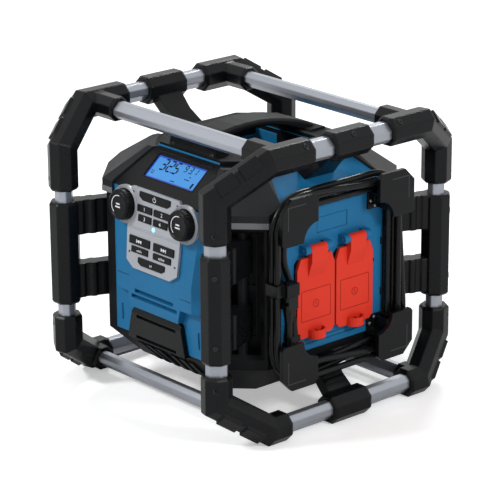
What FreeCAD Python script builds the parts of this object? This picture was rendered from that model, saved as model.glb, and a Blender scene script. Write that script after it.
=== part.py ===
"""Jobsite radio in a roll cage, millimetres, front face towards -Y, outlets on +X, floor at Z = 0."""
import FreeCAD, Part
import math
import os
import re
import Sketcher
from FreeCAD import Placement, Rotation, Vector

SIZES = {
    # cage centre lines
    "post_x": 150.0, "post_y": 189.6, "rail_x": 179.4, "rail_top_z": 366.0, "rail_low_z": 18.3,
    "bend_y": 130.0, "bend_top_z": 325.0, "bend_low_z": 60.0, "cross_top_y": 112.6, "cross_low_y": 127.6,
    # tube sections
    "tube_wide": 27.0, "tube_deep": 21.5, "tube_corner": 6.5, "tube_wall": 2.0,
    "cross_wide": 22.5, "cross_deep": 17.5, "cross_corner": 5.0, "tube_fit": 0.05,
    # elbows, sleeves and brackets
    "sleeve_wide": 36.6, "sleeve_chamfer": 3.0, "elbow_post_high": 270.0, "elbow_post_low": 99.0,
    "elbow_top_end": 66.0, "elbow_low_end": 104.0, "socket_deep": 26.0, "boss_wide": 31.0,
    "boss_top_end": 127.0, "boss_low_end": 152.0, "pad_long": 30.0, "pad_wide": 19.0, "pad_proud": 2.4,
    "sleeve_low": 116.0, "sleeve_high": 254.0, "arm_low": 122.0, "arm_tall": 46.0, "arm_gap": 40.4,
    "arm_wide": 22.0, "arm_rib": 2.0, "rod_radius": 6.5, "rod_place": 122.0, "rod_fit": 0.05,
    "bracket_wide": 64.0, "bracket_web": 15.0, "bracket_top_x": 124.0, "bracket_low_x": 131.0,
    # housing
    "wall_x": 152.5, "wall_y": 153.5, "wall_diagonal": 183.85, "shell": 3.5, "split_z": 84.0, "base_z": 42.0,
    "roof_side_z": 295.0, "roof_side_angle": 32.2, "roof_front_z": 285.0, "roof_front_angle": 40.3,
    "roof_corner_z": 285.0, "roof_corner_angle": 35.0, "plateau_z": 329.0,
    "recess_wide": 46.0, "recess_deep": 30.0, "recess_low": 102.0, "recess_high": 262.0,
    "skin": 2.0, "cap_proud": 5.0, "cap_low": 271.0, "panel_half": 88.0, "panel_top_half": 62.0,
    "panel_low": 89.0, "side_low": 95.0, "band_proud": 11.5, "band_half": 74.0, "band_low": 150.0,
    "chin_low": 131.0, "chin_half": 47.0, "chin_top_half": 52.0, "seam": 0.2, "trim_y": 103.0, "top_half_x": 100.0, "top_half_y": 62.0,
    # front controls
    "fascia_foot_z": 186.0, "fascia_y": 168.9, "fascia_tilt": 5.5, "fascia_thick": 4.0, "fascia_tall": 106.0,
    "lobe_radius": 25.0, "knob_radius": 20.0, "knob_thick": 15.0, "knob_place": 59.0, "knob_rise": 79.0,
    "knob_gap": 0.6, "shaft_radius": 3.0, "shaft_fit": 0.05, "key_gap": 0.35, "key_proud": 1.4,
    "key_travel": 1.2, "key_thick": 3.6,
    "screen_wide": 95.0, "screen_tall": 35.0, "screen_thick": 1.2, "screen_rise": 38.5, "bezel_thick": 3.0,
    "sub_top_half": 48.0, "sub_low_half": 57.0, "sub_high": 129.0, "sub_thick": 9.0,
    # top and handle
    "well_half_x": 58.0, "well_half_y": 62.0, "well_z": 306.0, "well_wall": 2.5, "cover_thick": 3.0,
    "riser_half": 44.0, "riser_deep": 26.0, "riser_z": 347.0, "handle_half": 22.0, "handle_top_z": 362.0,
    "handle_thick": 9.5, "handle_front_y": 100.0, "handle_back_y": 98.0, "handle_back_z": 336.0,
    # outlets
    "door_wide": 64.0, "door_tall": 106.0, "door_thick": 4.0, "door_place": 33.4, "door_top": 221.0,
    "door_x": 157.2, "hinge_x": 163.0, "hinge_z": 232.0, "knuckle_radius": 5.5, "pin_radius": 1.6,
    "pin_fit": 0.05, "knuckle_half": 13.5, "lug_thick": 9.0, "lug_gap": 0.4,
    "socket_wide": 34.0, "socket_tall": 60.0, "socket_deep_in": 24.0, "socket_z": 165.0,
    "cup_radius": 13.0, "cup_wall": 2.0, "cup_tall": 11.5, "grille_thick": 4.0, "grille_slot": 2.5,
    # cord and hooks
    "cord_diameter": 8.6, "cord_gap": 0.9, "cord_first_x": 162.6, "wind_y": 60.0, "wind_z": 72.0,
    "wind_mid_z": 188.0, "wind_radius": 30.0, "gland_y": 75.0, "gland_z": 150.0, "relief_long": 24.0,
    "plug_x": 176.5, "plug_y": 93.5, "plug_z": 151.4, "boot_long": 18.6, "plug_tall": 16.7,
    "clip_z": 187.0, "clip_tall": 16.0, "hook_wall": 4.0, "hook_flange": 2.4,
    "hook_plate_x": 180.5, "hook_plate": 6.0, "hook_inner": 53.0, "hook_outer": 113.0, "hook_cut": 24.0,
    # back
    "bay_wide": 130.0, "bay_tall": 100.0, "bay_deep": 70.0, "bay_z": 180.0, "bay_wall": 2.5,
    "bay_door_edge": 9.0, "bay_door_thick": 4.0, "bay_hinge_out": 5.0,
}

doc = FreeCAD.newDocument("JobsiteRadio")
sheet = doc.addObject("Spreadsheet::Sheet", "Sizes")
for row, (alias, size) in enumerate(SIZES.items(), start=1):
    sheet.set(f"A{row}", alias)
    sheet.set(f"B{row}", str(size))
    sheet.setAlias(f"B{row}", alias)
doc.recompute()

KNOB_SIDES = 36
CORD_SIDES = 6
NODES = []
WORDS = re.compile(r"[A-Za-z_]+")
FUNCTIONS = {"sin", "cos", "tan", "sqrt", "deg"}


def bound(text):
    """Expression text with every size word pointed at the sheet."""
    return WORDS.sub(lambda hit: hit[0] if hit[0] in FUNCTIONS else f"Sizes.{hit[0]}", text)


def size(text):
    """Number that a sheet expression gives now."""
    return float(sheet.evalExpression(bound(text)))


def keep(shape_object, label):
    """Name an object as a finished sub-part."""
    shape_object.Label = label
    NODES.append(shape_object)
    return shape_object


def feature(label, shape, placement=Placement()):
    """Sub-part whose shape comes from Part functions."""
    item = doc.addObject("Part::Feature", label)
    item.Shape = shape
    item.Placement = placement
    return keep(item, label)


def place(item, x="0", y="0", z="0"):
    """Bind an object's position to sheet expressions."""
    for axis, text in zip("xyz", (x, y, z)):
        item.setExpression(f"Placement.Base.{axis}", bound(text))


def plane_of(body, role):
    """Origin plane of a body, by its role."""
    return next(item for item in body.Origin.OriginFeatures if item.Role == role)


def outline_sketch(body, name, loops, circles=(), role="XY_Plane"):
    """Sketch of closed loops and circles, each point tied to the sheet."""
    sketch = body.newObject("Sketcher::SketchObject", name)
    sketch.AttachmentSupport = [(plane_of(body, role), "")]
    sketch.MapMode = "FlatFace"
    for loop in loops:
        first = sketch.GeometryCount
        spots = [Vector(size(x), size(y), 0) for x, y in loop]
        count = len(spots)
        for index in range(count):
            sketch.addGeometry(Part.LineSegment(spots[index], spots[(index + 1) % count]), False)
        for index in range(count):
            follower = first + (index + 1) % count
            sketch.addConstraint(Sketcher.Constraint("Coincident", first + index, 2, follower, 1))
        for index, (x, y) in enumerate(loop):
            for kind, text, value in (("DistanceX", x, spots[index].x), ("DistanceY", y, spots[index].y)):
                number = sketch.addConstraint(Sketcher.Constraint(kind, -1, 1, first + index, 1, value))
                sketch.setExpression(f"Constraints[{number}]", bound(text))
    for x, y, radius in circles:
        round_line = Part.Circle(Vector(size(x), size(y), 0), Vector(0, 0, 1), size(radius))
        index = sketch.addGeometry(round_line, False)
        number = sketch.addConstraint(Sketcher.Constraint("Radius", index, size(radius)))
        sketch.setExpression(f"Constraints[{number}]", bound(radius))
        for kind, text in (("DistanceX", x), ("DistanceY", y)):
            number = sketch.addConstraint(Sketcher.Constraint(kind, -1, 1, index, 3, size(text)))
            sketch.setExpression(f"Constraints[{number}]", bound(text))
    return sketch


def padded(name, loops, length, circles=(), role="XY_Plane"):
    """Body made by padding one sketch."""
    body = doc.addObject("PartDesign::Body", name)
    pad = body.newObject("PartDesign::Pad", name + "_pad")
    pad.Profile = outline_sketch(body, name + "_outline", loops, circles, role)
    pad.setExpression("Length", bound(length))
    body.Tip = pad
    doc.recompute()
    return body


def group(label, items):
    """Sub-part of several separate solids."""
    pack = doc.addObject("Part::Compound", label)
    pack.Links = items
    return keep(pack, label)


def prism(points, direction):
    """Straight prism on a closed polygon of vectors."""
    return Part.Face(Part.makePolygon(points + points[:1])).extrude(direction)


def fused(first, *others):
    """Union of solids with the shared faces merged."""
    return first.fuse(list(others)).removeSplitter()


def mirrored(shape, normal):
    """Mirror image of a shape in a plane through the origin."""
    return shape.mirror(Vector(0, 0, 0), normal)


def polygon(centre, across, along, radius, sides):
    """Regular polygon of vectors whose flats lie at a radius."""
    reach = radius / math.cos(math.pi / sides)
    turns = [2 * math.pi * (index + 0.5) / sides for index in range(sides)]
    return [centre + across * (reach * math.cos(turn)) + along * (reach * math.sin(turn)) for turn in turns]


def flat_post(radius, length, start, direction, sides=12):
    """Many-sided post or bore on an axis."""
    across = direction.cross(ALONG_X if abs(direction.x) < 0.9 else ALONG_Y).normalize()
    return prism(polygon(start, across, direction.cross(across), radius, sides), direction * length)


CORNERS = {"front_right": (1, -1), "front_left": (-1, -1), "back_right": (1, 1), "back_left": (-1, 1)}


def octagon(wide, deep, corner):
    """Expression points of a rectangle with cut corners."""
    across, along = f"({wide}) / 2", f"({deep}) / 2"
    signs = [(1, -1, 1, 0), (1, -1, 0, 1), (1, 1, 0, 1), (1, 1, 1, 0)]
    signs += [(-1, 1, 1, 0), (-1, 1, 0, 1), (-1, -1, 0, 1), (-1, -1, 1, 0)]
    return [(f"{sx} * ({across} - {cx} * ({corner}))", f"{sy} * ({along} - {cy} * ({corner}))")
            for sx, sy, cx, cy in signs]


def tube_loops(kind):
    """Outer and inner outline of a flattened octagon tube."""
    inner = (f"{kind}_wide - 2 * tube_wall", f"{kind}_deep - 2 * tube_wall", f"{kind}_corner - tube_wall * 0.6")
    return [octagon(f"{kind}_wide", f"{kind}_deep", f"{kind}_corner"), octagon(*inner)]


def turn_to(direction, wide_axis):
    """Rotation that points Z along a direction and X along the tube's wide axis."""
    side = direction.cross(wide_axis)
    return Rotation(wide_axis, side, direction, "ZXY")


def tube(name, kind, length, direction, wide_axis, x, y, z):
    """One straight cage tube, its wide faces turned diagonally outward."""
    body = padded(name, tube_loops(kind), length)
    body.Placement = Placement(Vector(0, 0, 0), turn_to(direction, wide_axis))
    place(body, x, y, z)
    return body


UP = Vector(0, 0, 1)
ALONG_X = Vector(1, 0, 0)
ALONG_Y = Vector(0, 1, 0)


def cage_tubes():
    """Four posts, four side rails and four cross rails."""
    reach = "socket_deep - 2"
    for name, (sx, sy) in CORNERS.items():
        wide = Vector(-sy, sx, 0).normalize()
        low, high = f"elbow_post_low - ({reach})", f"elbow_post_high + ({reach})"
        post = tube("post_" + name, "tube", f"{high} - ({low})", UP, wide, f"{sx} * post_x", f"{sy} * post_y", low)
        keep(post, "post_" + name)
    rails, crosses = [], []
    for level, sz in (("top", 1), ("low", -1)):
        for side, sx in (("right", 1), ("left", -1)):
            end = f"elbow_{level}_end + {reach}" if level == "top" else "elbow_low_end + 18"
            wide = Vector(-sz * sx, 0, 1).normalize()
            rails.append(tube(f"rail_{level}_{side}", "tube", f"2 * ({end})", ALONG_Y, wide,
                              f"{sx} * rail_x", f"-({end})", f"rail_{level}_z"))
        for side, sy in (("front", -1), ("back", 1)):
            wide = Vector(0, -sz * sy, 1).normalize()
            end = "rail_x - sleeve_wide / 2 - 2"
            crosses.append(tube(f"cross_{level}_{side}", "cross", f"2 * ({end})", ALONG_X, wide,
                                f"-({end})", f"{sy} * cross_{level}_y", f"rail_{level}_z"))
    group("side_rails", rails)
    group("cross_rails", crosses)


def section(centre, across, along, wide, deep, corner):
    """Octagon section as vectors about a centre."""
    spots = [(size(x), size(y)) for x, y in octagon(wide, deep, corner)]
    return [centre + across * x + along * y for x, y in spots]


def sleeve_section(centre, across, along, shrink=0.0):
    """Regular octagon of the moulded sleeves."""
    wide = f"sleeve_wide - {2 * shrink}"
    return section(centre, across, along, wide, wide, f"({wide}) * 0.2929")


def skin_solid(rings):
    """Solid through rings of matching points, with flat end caps."""
    faces = []
    for lower, upper in zip(rings, rings[1:]):
        for index in range(len(lower)):
            after = (index + 1) % len(lower)
            quad = [lower[index], lower[after], upper[after], upper[index]]
            faces.append(Part.Face(Part.makePolygon(quad[:3] + quad[:1])))
            faces.append(Part.Face(Part.makePolygon([quad[0], quad[2], quad[3], quad[0]])))
    for ring in (rings[0], rings[-1]):
        faces.append(Part.Face(Part.makePolygon(ring + ring[:1])))
    solid = Part.Solid(Part.Shell(faces))
    if solid.Volume < 0:
        solid.reverse()
    return solid.removeSplitter()


def mitred(points, across, along):
    """Octagon sleeve carried round the bends of a path, with chamfered ends."""
    chamfer = size("sleeve_chamfer")
    start = (points[1] - points[0]).normalize()
    rings = [sleeve_section(points[0], across, along, chamfer * 0.7),
             sleeve_section(points[0] + start * chamfer, across, along)]
    travel = start
    for index in range(1, len(points)):
        last = index == len(points) - 1
        onward = travel if last else (points[index + 1] - points[index]).normalize()
        normal = (travel + onward).normalize()
        centre = points[index] - travel * chamfer if last else points[index]
        ring = [spot + travel * ((centre - spot).dot(normal) / travel.dot(normal)) for spot in rings[-1]]
        rings.append(ring)
        travel = onward
    end = points[-1]
    shrink = 1 - 1.4 * chamfer / size("sleeve_wide")
    last_ring = [end + (spot - centre) * shrink for spot in rings[-1]]
    rings.append(last_ring)
    return skin_solid(rings)


def tube_cutter(kind, start, direction, wide_axis, length):
    """Prism of a tube's outer outline with its fit, for sockets and bores."""
    side = direction.cross(wide_axis)
    wide, deep = f"{kind}_wide + 2 * tube_fit", f"{kind}_deep + 2 * tube_fit"
    ring = section(start, wide_axis, side, wide, deep, f"{kind}_corner")
    return prism(ring, direction * length)


def bumper(start, end, outward, offset, length):
    """Raised pad on the outside of an elbow's slanted stretch."""
    along = (end - start).normalize()
    across = along.cross(outward).normalize()
    outward = across.cross(along)
    wide, reach = size("pad_wide"), size("sleeve_wide / 2 + pad_proud")
    base = start + along * offset
    low, high = size("sleeve_wide / 4"), reach
    profile = [base + outward * low, base + along * 1.5 + outward * high,
               base + along * (length - 1.5) + outward * high, base + along * length + outward * low]
    pad = prism([spot - across * wide / 2 for spot in profile], across * wide)
    return pad


def elbow(level, sx, sy):
    """One cage corner: post sleeve, slanted bumper stretch, rail sleeve and cross boss."""
    top = level == "top"
    sz = 1 if top else -1
    post_end = size("elbow_post_high" if top else "elbow_post_low")
    bend_z, rail_z = size(f"bend_{level}_z"), size(f"rail_{level}_z")
    rail_end = size(f"elbow_{level}_end")
    path = [Vector(sx * size("rail_x"), sy * rail_end, rail_z), Vector(sx * size("rail_x"), sy * size("bend_y"), rail_z),
            Vector(sx * size("post_x"), sy * size("post_y"), bend_z),
            Vector(sx * size("post_x"), sy * size("post_y"), post_end)]
    body = mitred(path, ALONG_X, UP)
    outward = Vector(sx, sy, sz).normalize()
    spare = (path[1] - path[2]).Length - 2 * size("pad_long")
    gap = 5.0
    for offset in ((spare - gap) / 2, (spare + gap) / 2 + size("pad_long")):
        body = body.fuse(bumper(path[2], path[1], outward, offset, size("pad_long")))
    cross_y = sy * size(f"cross_{level}_y")
    boss_end = sx * size(f"boss_{level}_end")
    boss_wide = Vector(0, -sz * sy, 1).normalize()
    boss_side = ALONG_X.cross(boss_wide)
    start = Vector(boss_end, cross_y, rail_z)
    boss_text = "boss_wide"
    tip = section(start, boss_wide, boss_side, boss_text + " - 4", boss_text + " - 4", "(boss_wide - 4) * 0.2929")
    ring = section(start + ALONG_X * sx * 2, boss_wide, boss_side, boss_text, boss_text, "boss_wide * 0.2929")
    inner = [spot + ALONG_X * (sx * size("rail_x") - boss_end - sx * 2) for spot in ring]
    body = body.fuse(skin_solid([tip, ring, inner]))
    deep = size("socket_deep")
    cutters = [tube_cutter("tube", path[3], UP * sz, Vector(-sy, sx, 0).normalize(), deep)]
    rail_deep = deep if top else 18.0 + 2
    cutters.append(tube_cutter("tube", path[0], ALONG_Y * sy, Vector(-sz * sx, 0, 1).normalize(), rail_deep))
    boss_deep = size("rail_x - sleeve_wide / 2") - abs(boss_end)
    cutters.append(tube_cutter("cross", start, ALONG_X * sx, boss_wide, boss_deep))
    return body.cut(cutters).removeSplitter()


def elbows():
    """Eight elbows, four at each level."""
    for level in ("top", "low"):
        for name, (sx, sy) in CORNERS.items():
            feature(f"elbow_{level}_{name}", elbow(level, sx, sy))


def arm_outline(sx, sy, z):
    """Plan outline of a post arm with its vertical ribs, from the post to the rod."""
    post = Vector(sx * size("post_x"), sy * size("post_y"), z)
    rod = Vector(sx * size("rod_place"), sy * size("rod_place"), z)
    along = (rod - post).normalize()
    across = Vector(-along.y, along.x, 0)
    reach = (rod - post).Length + size("rod_radius") + 3.5
    half, rib = size("arm_wide / 2"), size("arm_rib")
    steps = [12.0, 22.0, 25.0, 30.0, 33.0, 38.0, 41.0, 46.0]
    near = []
    for index, step in enumerate(steps):
        depth = half - rib if index % 4 in (2, 3) else half
        near.append((step, depth))
    near += [(reach - 4, half), (reach, half - 4)]
    outline = [post + along * step + across * depth for step, depth in near]
    outline += [post + along * step - across * depth for step, depth in reversed(near)]
    return outline


def post_sleeves():
    """Four post sleeves, each with two ribbed arms that clamp the housing's corner rod."""
    for name, (sx, sy) in CORNERS.items():
        post = Vector(sx * size("post_x"), sy * size("post_y"), 0)
        low, high, chamfer = size("sleeve_low"), size("sleeve_high"), size("sleeve_chamfer")
        outward = Vector(sx, sy, 0).normalize()
        side = UP.cross(outward)
        rings = [sleeve_section(post + UP * z, outward, side, shrink) for z, shrink in
                 ((low, chamfer * 0.7), (low + chamfer, 0), (high - chamfer, 0), (high, chamfer * 0.7))]
        body = skin_solid(rings)
        for start in (size("arm_low"), size("arm_low + arm_tall + arm_gap")):
            body = body.fuse(prism(arm_outline(sx, sy, start), UP * size("arm_tall")))
        bore = tube_cutter("tube", post + UP * low, UP, Vector(-sy, sx, 0).normalize(), high - low)
        rod = flat_post(size("rod_radius + rod_fit"), 400, Vector(sx, sy, 0) * size("rod_place"), UP)
        feature("post_sleeve_" + name, body.cut([bore, rod]).removeSplitter())


def bracket(level, sx):
    """Clamp on a side rail with a flared ribbed arm down to the housing."""
    sz = 1 if level == "top" else -1
    half, web = size("bracket_wide / 2"), size("bracket_web")
    rail = Vector(sx * size("rail_x"), 0, size(f"rail_{level}_z"))
    wide = size("sleeve_wide")
    outward = Vector(sx, 0, sz).normalize()
    side = ALONG_Y.cross(outward)
    rings = [sleeve_section(rail + ALONG_Y * y, outward, side, shrink) for y, shrink in
             ((-half, 2), (3 - half, 0), (half - 3, 0), (half, 2))]
    body = skin_solid(rings)
    foot_x = size(f"bracket_{level}_x")
    foot_z = roof_height(foot_x) if level == "top" else base_height(foot_x)
    reach = Vector(sx * foot_x, 0, foot_z) - rail
    normal = Vector(reach.z, 0, -reach.x).normalize() * (web / 2)
    inner = rail + reach * 0.2
    foot = rail + reach * 1.25
    flare = [(inner - ALONG_Y * (half - 12)), (rail + reach * 0.6 - ALONG_Y * (half - 14)), (foot - ALONG_Y * (half - 2)),
             (foot + ALONG_Y * (half - 2)), (rail + reach * 0.6 + ALONG_Y * (half - 14)), (inner + ALONG_Y * (half - 12))]
    arm = prism([spot - normal for spot in flare], normal * 2)
    for step in (0.5, 0.62, 0.74, 0.86):
        rib_at = rail + reach * step
        along = reach * (1.0 / reach.Length)
        rib = prism([rib_at + along * a + normal * b - ALONG_Y * (half - 16)
                     for a, b in ((-2.2, 0.9), (-1.2, 1.35), (1.2, 1.35), (2.2, 0.9))], ALONG_Y * (2 * half - 32))
        arm = arm.fuse(rib)
    body = body.fuse(arm)
    bore = tube_cutter("tube", rail - ALONG_Y * half, ALONG_Y, Vector(-sz * sx, 0, 1).normalize(), 2 * half)
    seat = size("skin") if level == "top" else 0.0
    return body.cut([bore, hull_solid(seat)]).removeSplitter()


def roof_height(x):
    """Height of the side roof's outer skin at a distance from the middle."""
    angle = math.radians(size("roof_side_angle"))
    return size("roof_side_z") + (size("wall_x") - x) * math.tan(angle) + size("skin") / math.cos(angle)


def base_height(x):
    """Height of the base's side bevel at a distance from the middle."""
    return size("split_z") - (size("wall_x") - x)


def brackets():
    """Four rail brackets that hang the housing in the cage."""
    solids = [bracket(level, sx) for level in ("top", "low") for sx in (1, -1)]
    feature("rail_brackets", Part.makeCompound(solids))


def half_space(normal, point, reach=900.0):
    """Large block on the outer side of a plane."""
    block = Part.makeBox(2 * reach, 2 * reach, reach, Vector(-reach, -reach, 0))
    block.Placement = Placement(point, Rotation(UP, normal))
    return block


def hull_solid(offset):
    """Housing envelope: eight walls, sloped roof and bevelled base, each face moved out by an offset."""
    solid = Part.makeBox(500, 500, 500, Vector(-250, -250, 0))
    cutters = []
    for sx, sy in ((1, 0), (-1, 0), (0, 1), (0, -1), (1, 1), (1, -1), (-1, 1), (-1, -1)):
        kind = "corner" if sx and sy else "side" if sx else "front"
        distance = size({"corner": "wall_diagonal", "side": "wall_x", "front": "wall_y"}[kind])
        flat = Vector(sx, sy, 0).normalize()
        angle = math.radians(size(f"roof_{kind}_angle"))
        slopes = ((flat, 0.0), (flat * math.sin(angle) + UP * math.cos(angle), size(f"roof_{kind}_z")),
                  ((flat - UP).normalize(), size("split_z")))
        for normal, height in slopes:
            cutters.append(half_space(normal, flat * distance + UP * height + normal * offset))
    cutters.append(half_space(UP, UP * (size("plateau_z") + offset)))
    cutters.append(half_space(-UP, UP * (size("base_z") - offset)))
    for cutter in cutters:
        solid = solid.cut(cutter)
    return solid


def slab(x0, x1, y0, y1, z0, z1):
    """Box between two corners."""
    return Part.makeBox(x1 - x0, y1 - y0, z1 - z0, Vector(x0, y0, z0))


def corner_block(sx, sy, half, inner, outer, low, high):
    """Upright block across a housing corner, between two distances from the middle."""
    flat = Vector(sx, sy, 0).normalize()
    side = UP.cross(flat)
    ring = [flat * inner - side * half, flat * outer - side * half, flat * outer + side * half, flat * inner + side * half]
    return prism([spot + UP * low for spot in ring], UP * (high - low))


def recess(sx, sy, grow=0.0):
    """Corner recess with splayed walls, optionally grown into its lining."""
    half, low, high = size("recess_wide / 2") + grow, size("recess_low") - grow, size("recess_high") + grow
    face, back = size("wall_diagonal"), size("wall_diagonal - recess_deep") - grow
    flat = Vector(sx, sy, 0).normalize()
    side = UP.cross(flat)
    rings = []
    for distance, splay in ((back, 0.0), (face - 6.0, 0.0), (face + 0.01, 5.0)):
        rings.append([flat * distance + side * a * (half + splay) + UP * z
                      for a, z in ((-1, low - splay), (1, low - splay), (1, high + splay), (-1, high + splay))])
    return skin_solid(rings)


def housing():
    """Black housing shell with four corner recesses, rods, the hand well's hole and the battery bay."""
    outer, inner = hull_solid(0), hull_solid(-size("shell"))
    shell, split = size("shell"), size("split_z")
    body = outer.cut(inner)
    body = body.cut(slab(-300, 300, -300, 300, -10, split))
    for sx, sy in CORNERS.values():
        lining = recess(sx, sy, 2.5).common(outer)
        body = body.fuse(lining)
    for sx, sy in CORNERS.values():
        body = body.cut(recess(sx, sy))
        back = size("wall_diagonal - recess_deep")
        window = corner_block(sx, sy, size("recess_wide / 2 - 4"), back - 10, back + 1,
                              size("recess_low + 8"), size("recess_high - 8"))
        body = body.cut(window)
        foot = Vector(sx, sy, 0) * size("rod_place") + UP * (size("recess_low") - 1)
        rod = flat_post(size("rod_radius"), size("recess_high - recess_low") + 2, foot, UP)
        body = body.fuse(rod)
    wide, tall, deep, wall = (size(word) for word in ("bay_wide", "bay_tall", "bay_deep", "bay_wall"))
    z = size("bay_z")
    face = size("wall_y")
    tray = slab(-wide / 2 - wall, wide / 2 + wall, face - deep - wall, face - shell + 0.5, z - tall / 2 - wall, z + tall / 2 + wall)
    body = body.fuse(tray)
    body = body.cut(slab(-wide / 2, wide / 2, face - deep, face + 1, z - tall / 2, z + tall / 2))
    clear = size("well_wall") + 0.3
    hole_x, hole_y = size("well_half_x") + clear, size("well_half_y") + clear
    body = body.cut(slab(-hole_x, hole_x, -hole_y, hole_y, size("plateau_z") - 20, size("plateau_z") + 1))
    half, tall_in = size("socket_wide / 2 + 0.3"), size("socket_tall / 2 + 0.3")
    for sy in (-1, 1):
        y = sy * size("door_place")
        body = body.cut(slab(size("wall_x") - 10, size("wall_x") + 1, y - half, y + half,
                             size("socket_z") - tall_in, size("socket_z") + tall_in))
    body = body.cut(sub_window())
    body = body.cut(fascia_cutters(size("shaft_radius") + 1.5, 8.0))
    feature("housing", body.removeSplitter())


def sub_window():
    """Hole for the bass driver behind the lower front."""
    return flat_post(34, 12, Vector(0, -size("wall_y") - 2, 122), ALONG_Y, 16)


def base_tray():
    """Bevelled base closing the housing, with slanted bumper ribs on its front bevel."""
    outer = hull_solid(0).common(slab(-300, 300, -300, 300, 0, size("split_z")))
    body = outer.cut(hull_solid(-size("shell")))
    slope = Placement(Vector(0, -size("wall_y") + 21, size("split_z") - 21), Rotation(ALONG_X, 135))
    for side in (-1, 1):
        for step in (9.0, 27.0, 45.0):
            corners = [(step - 5, -20), (step + 5, -20), (step + 11, 20), (step + 1, 20)]
            rib = prism([Vector(side * x, y, -1) for x, y in corners], UP * 4)
            rib.Placement = slope
            body = body.fuse(rib)
    feature("base_tray", body.removeSplitter())


def skin_between(region, inner_offset, outer_offset):
    """Moulded skin of even thickness inside an upright or cross-wise region."""
    return region.common(hull_solid(outer_offset).cut(hull_solid(inner_offset)))


def region_along_x(points, x0, x1):
    """Prism along X on a Y-Z polygon."""
    return prism([Vector(x0, y, z) for y, z in points], ALONG_X * (x1 - x0))


def region_along_y(points, y0, y1):
    """Prism along Y on an X-Z polygon."""
    return prism([Vector(x, y0, z) for x, z in points], ALONG_Y * (y1 - y0))


def side_polygon(grow=0.0):
    """Y-Z outline of a side panel, narrowing up the roof, grown by a seam."""
    half, top, low = size("panel_half") + grow, size("panel_top_half") + grow, size("side_low")
    kink, peak = size("roof_side_z"), size("plateau_z")
    return [(-half + 8, low), (half - 8, low), (half, low + 8), (half, kink), (top, peak + 1),
            (-top, peak + 1), (-half, kink), (-half, low + 8)]


def slope_polygon(grow=0.0):
    """X-Z outline of a front or back slope, narrowing up to the plateau, grown by a seam."""
    half, top = size("panel_half") + grow, size("panel_top_half") + grow
    low, peak = size("roof_front_z") - 1, size("plateau_z") + 1
    return [(-half, low), (half, low), (top, peak), (-top, peak)]


def right_panel():
    """Blue outlet panel with seams, hinge lugs and socket windows."""
    body = skin_between(region_along_x(side_polygon(), 60, 200), 0, size("skin"))
    face = size("wall_x + skin")
    half, tall = size("socket_wide / 2 + 0.3"), size("socket_tall / 2 + 0.3")
    for sy in (-1, 1):
        y = sy * size("door_place")
        body = body.cut(slab(face - 8, face + 1, y - half, y + half, size("socket_z") - tall, size("socket_z") + tall))
        hinge = Vector(size("hinge_x"), y, size("hinge_z"))
        for side in (-1, 1):
            start = y + side * size("knuckle_half + lug_gap")
            lug = slab(face - 0.5, hinge.x, min(start, start + side * size("lug_thick")),
                       max(start, start + side * size("lug_thick")), hinge.z - size("knuckle_radius"),
                       hinge.z + size("knuckle_radius"))
            nose = flat_post(size("knuckle_radius"), size("lug_thick"),
                             Vector(hinge.x, min(start, start + side * size("lug_thick")), hinge.z), ALONG_Y)
            body = body.fuse([lug.cut(hull_solid(0)), nose])
        bore = Part.makeCylinder(size("pin_radius"), size("2 * knuckle_half + 2 * lug_gap + 2 * lug_thick"),
                                 Vector(hinge.x, y - size("knuckle_half + lug_gap + lug_thick"), hinge.z), ALONG_Y)
        body = body.cut(bore)
    for y, z in ((-43, 300), (43, 300), (71, 189), (-71, 120)):
        body = body.cut(flat_post(3.2, 17, Vector(face - 14, y, z), ALONG_X))
    label = slab(face - 0.6, face + 1, -26, 26, 247, 267)
    body = body.cut(label)
    feature("right_panel", body.removeSplitter())


def left_panel():
    """Blue panel opposite the outlets, with a row of vent slots."""
    body = mirrored(skin_between(region_along_x(side_polygon(), 60, 200), 0, size("skin")), ALONG_X)
    face = -size("wall_x + skin")
    for step in range(6):
        z = 140 + step * 14
        body = body.cut(slab(face - 1, face + 1.2, -48, 48, z, z + 5))
    feature("left_panel", body.removeSplitter())


def front_polygon():
    """X-Z outline of the front panel."""
    half, low = size("panel_half"), size("panel_low")
    return [(-half, low), (half, low), (half, size("roof_front_z") - 1), (-half, size("roof_front_z") - 1)]


def fascia_placement():
    """Frame of the control fascia: X across, Y up the tilted face, Z out of the front."""
    tilt = size("fascia_tilt")
    base = Vector(0, -size("fascia_y"), size("fascia_foot_z"))
    return Placement(base, Rotation(ALONG_X, 90 - tilt))


def fascia_cutters(radius, depth):
    """Bores for the two knob shafts, run inwards from the fascia."""
    frame = fascia_placement()
    solids = []
    for side in (-1, 1):
        start = Vector(side * size("knob_place"), size("knob_rise"), -depth - size("fascia_thick") - 14)
        bore = flat_post(radius, depth + size("fascia_thick") + 20, start, UP)
        bore.Placement = frame
        solids.append(bore)
    return Part.makeCompound(solids)


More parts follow.
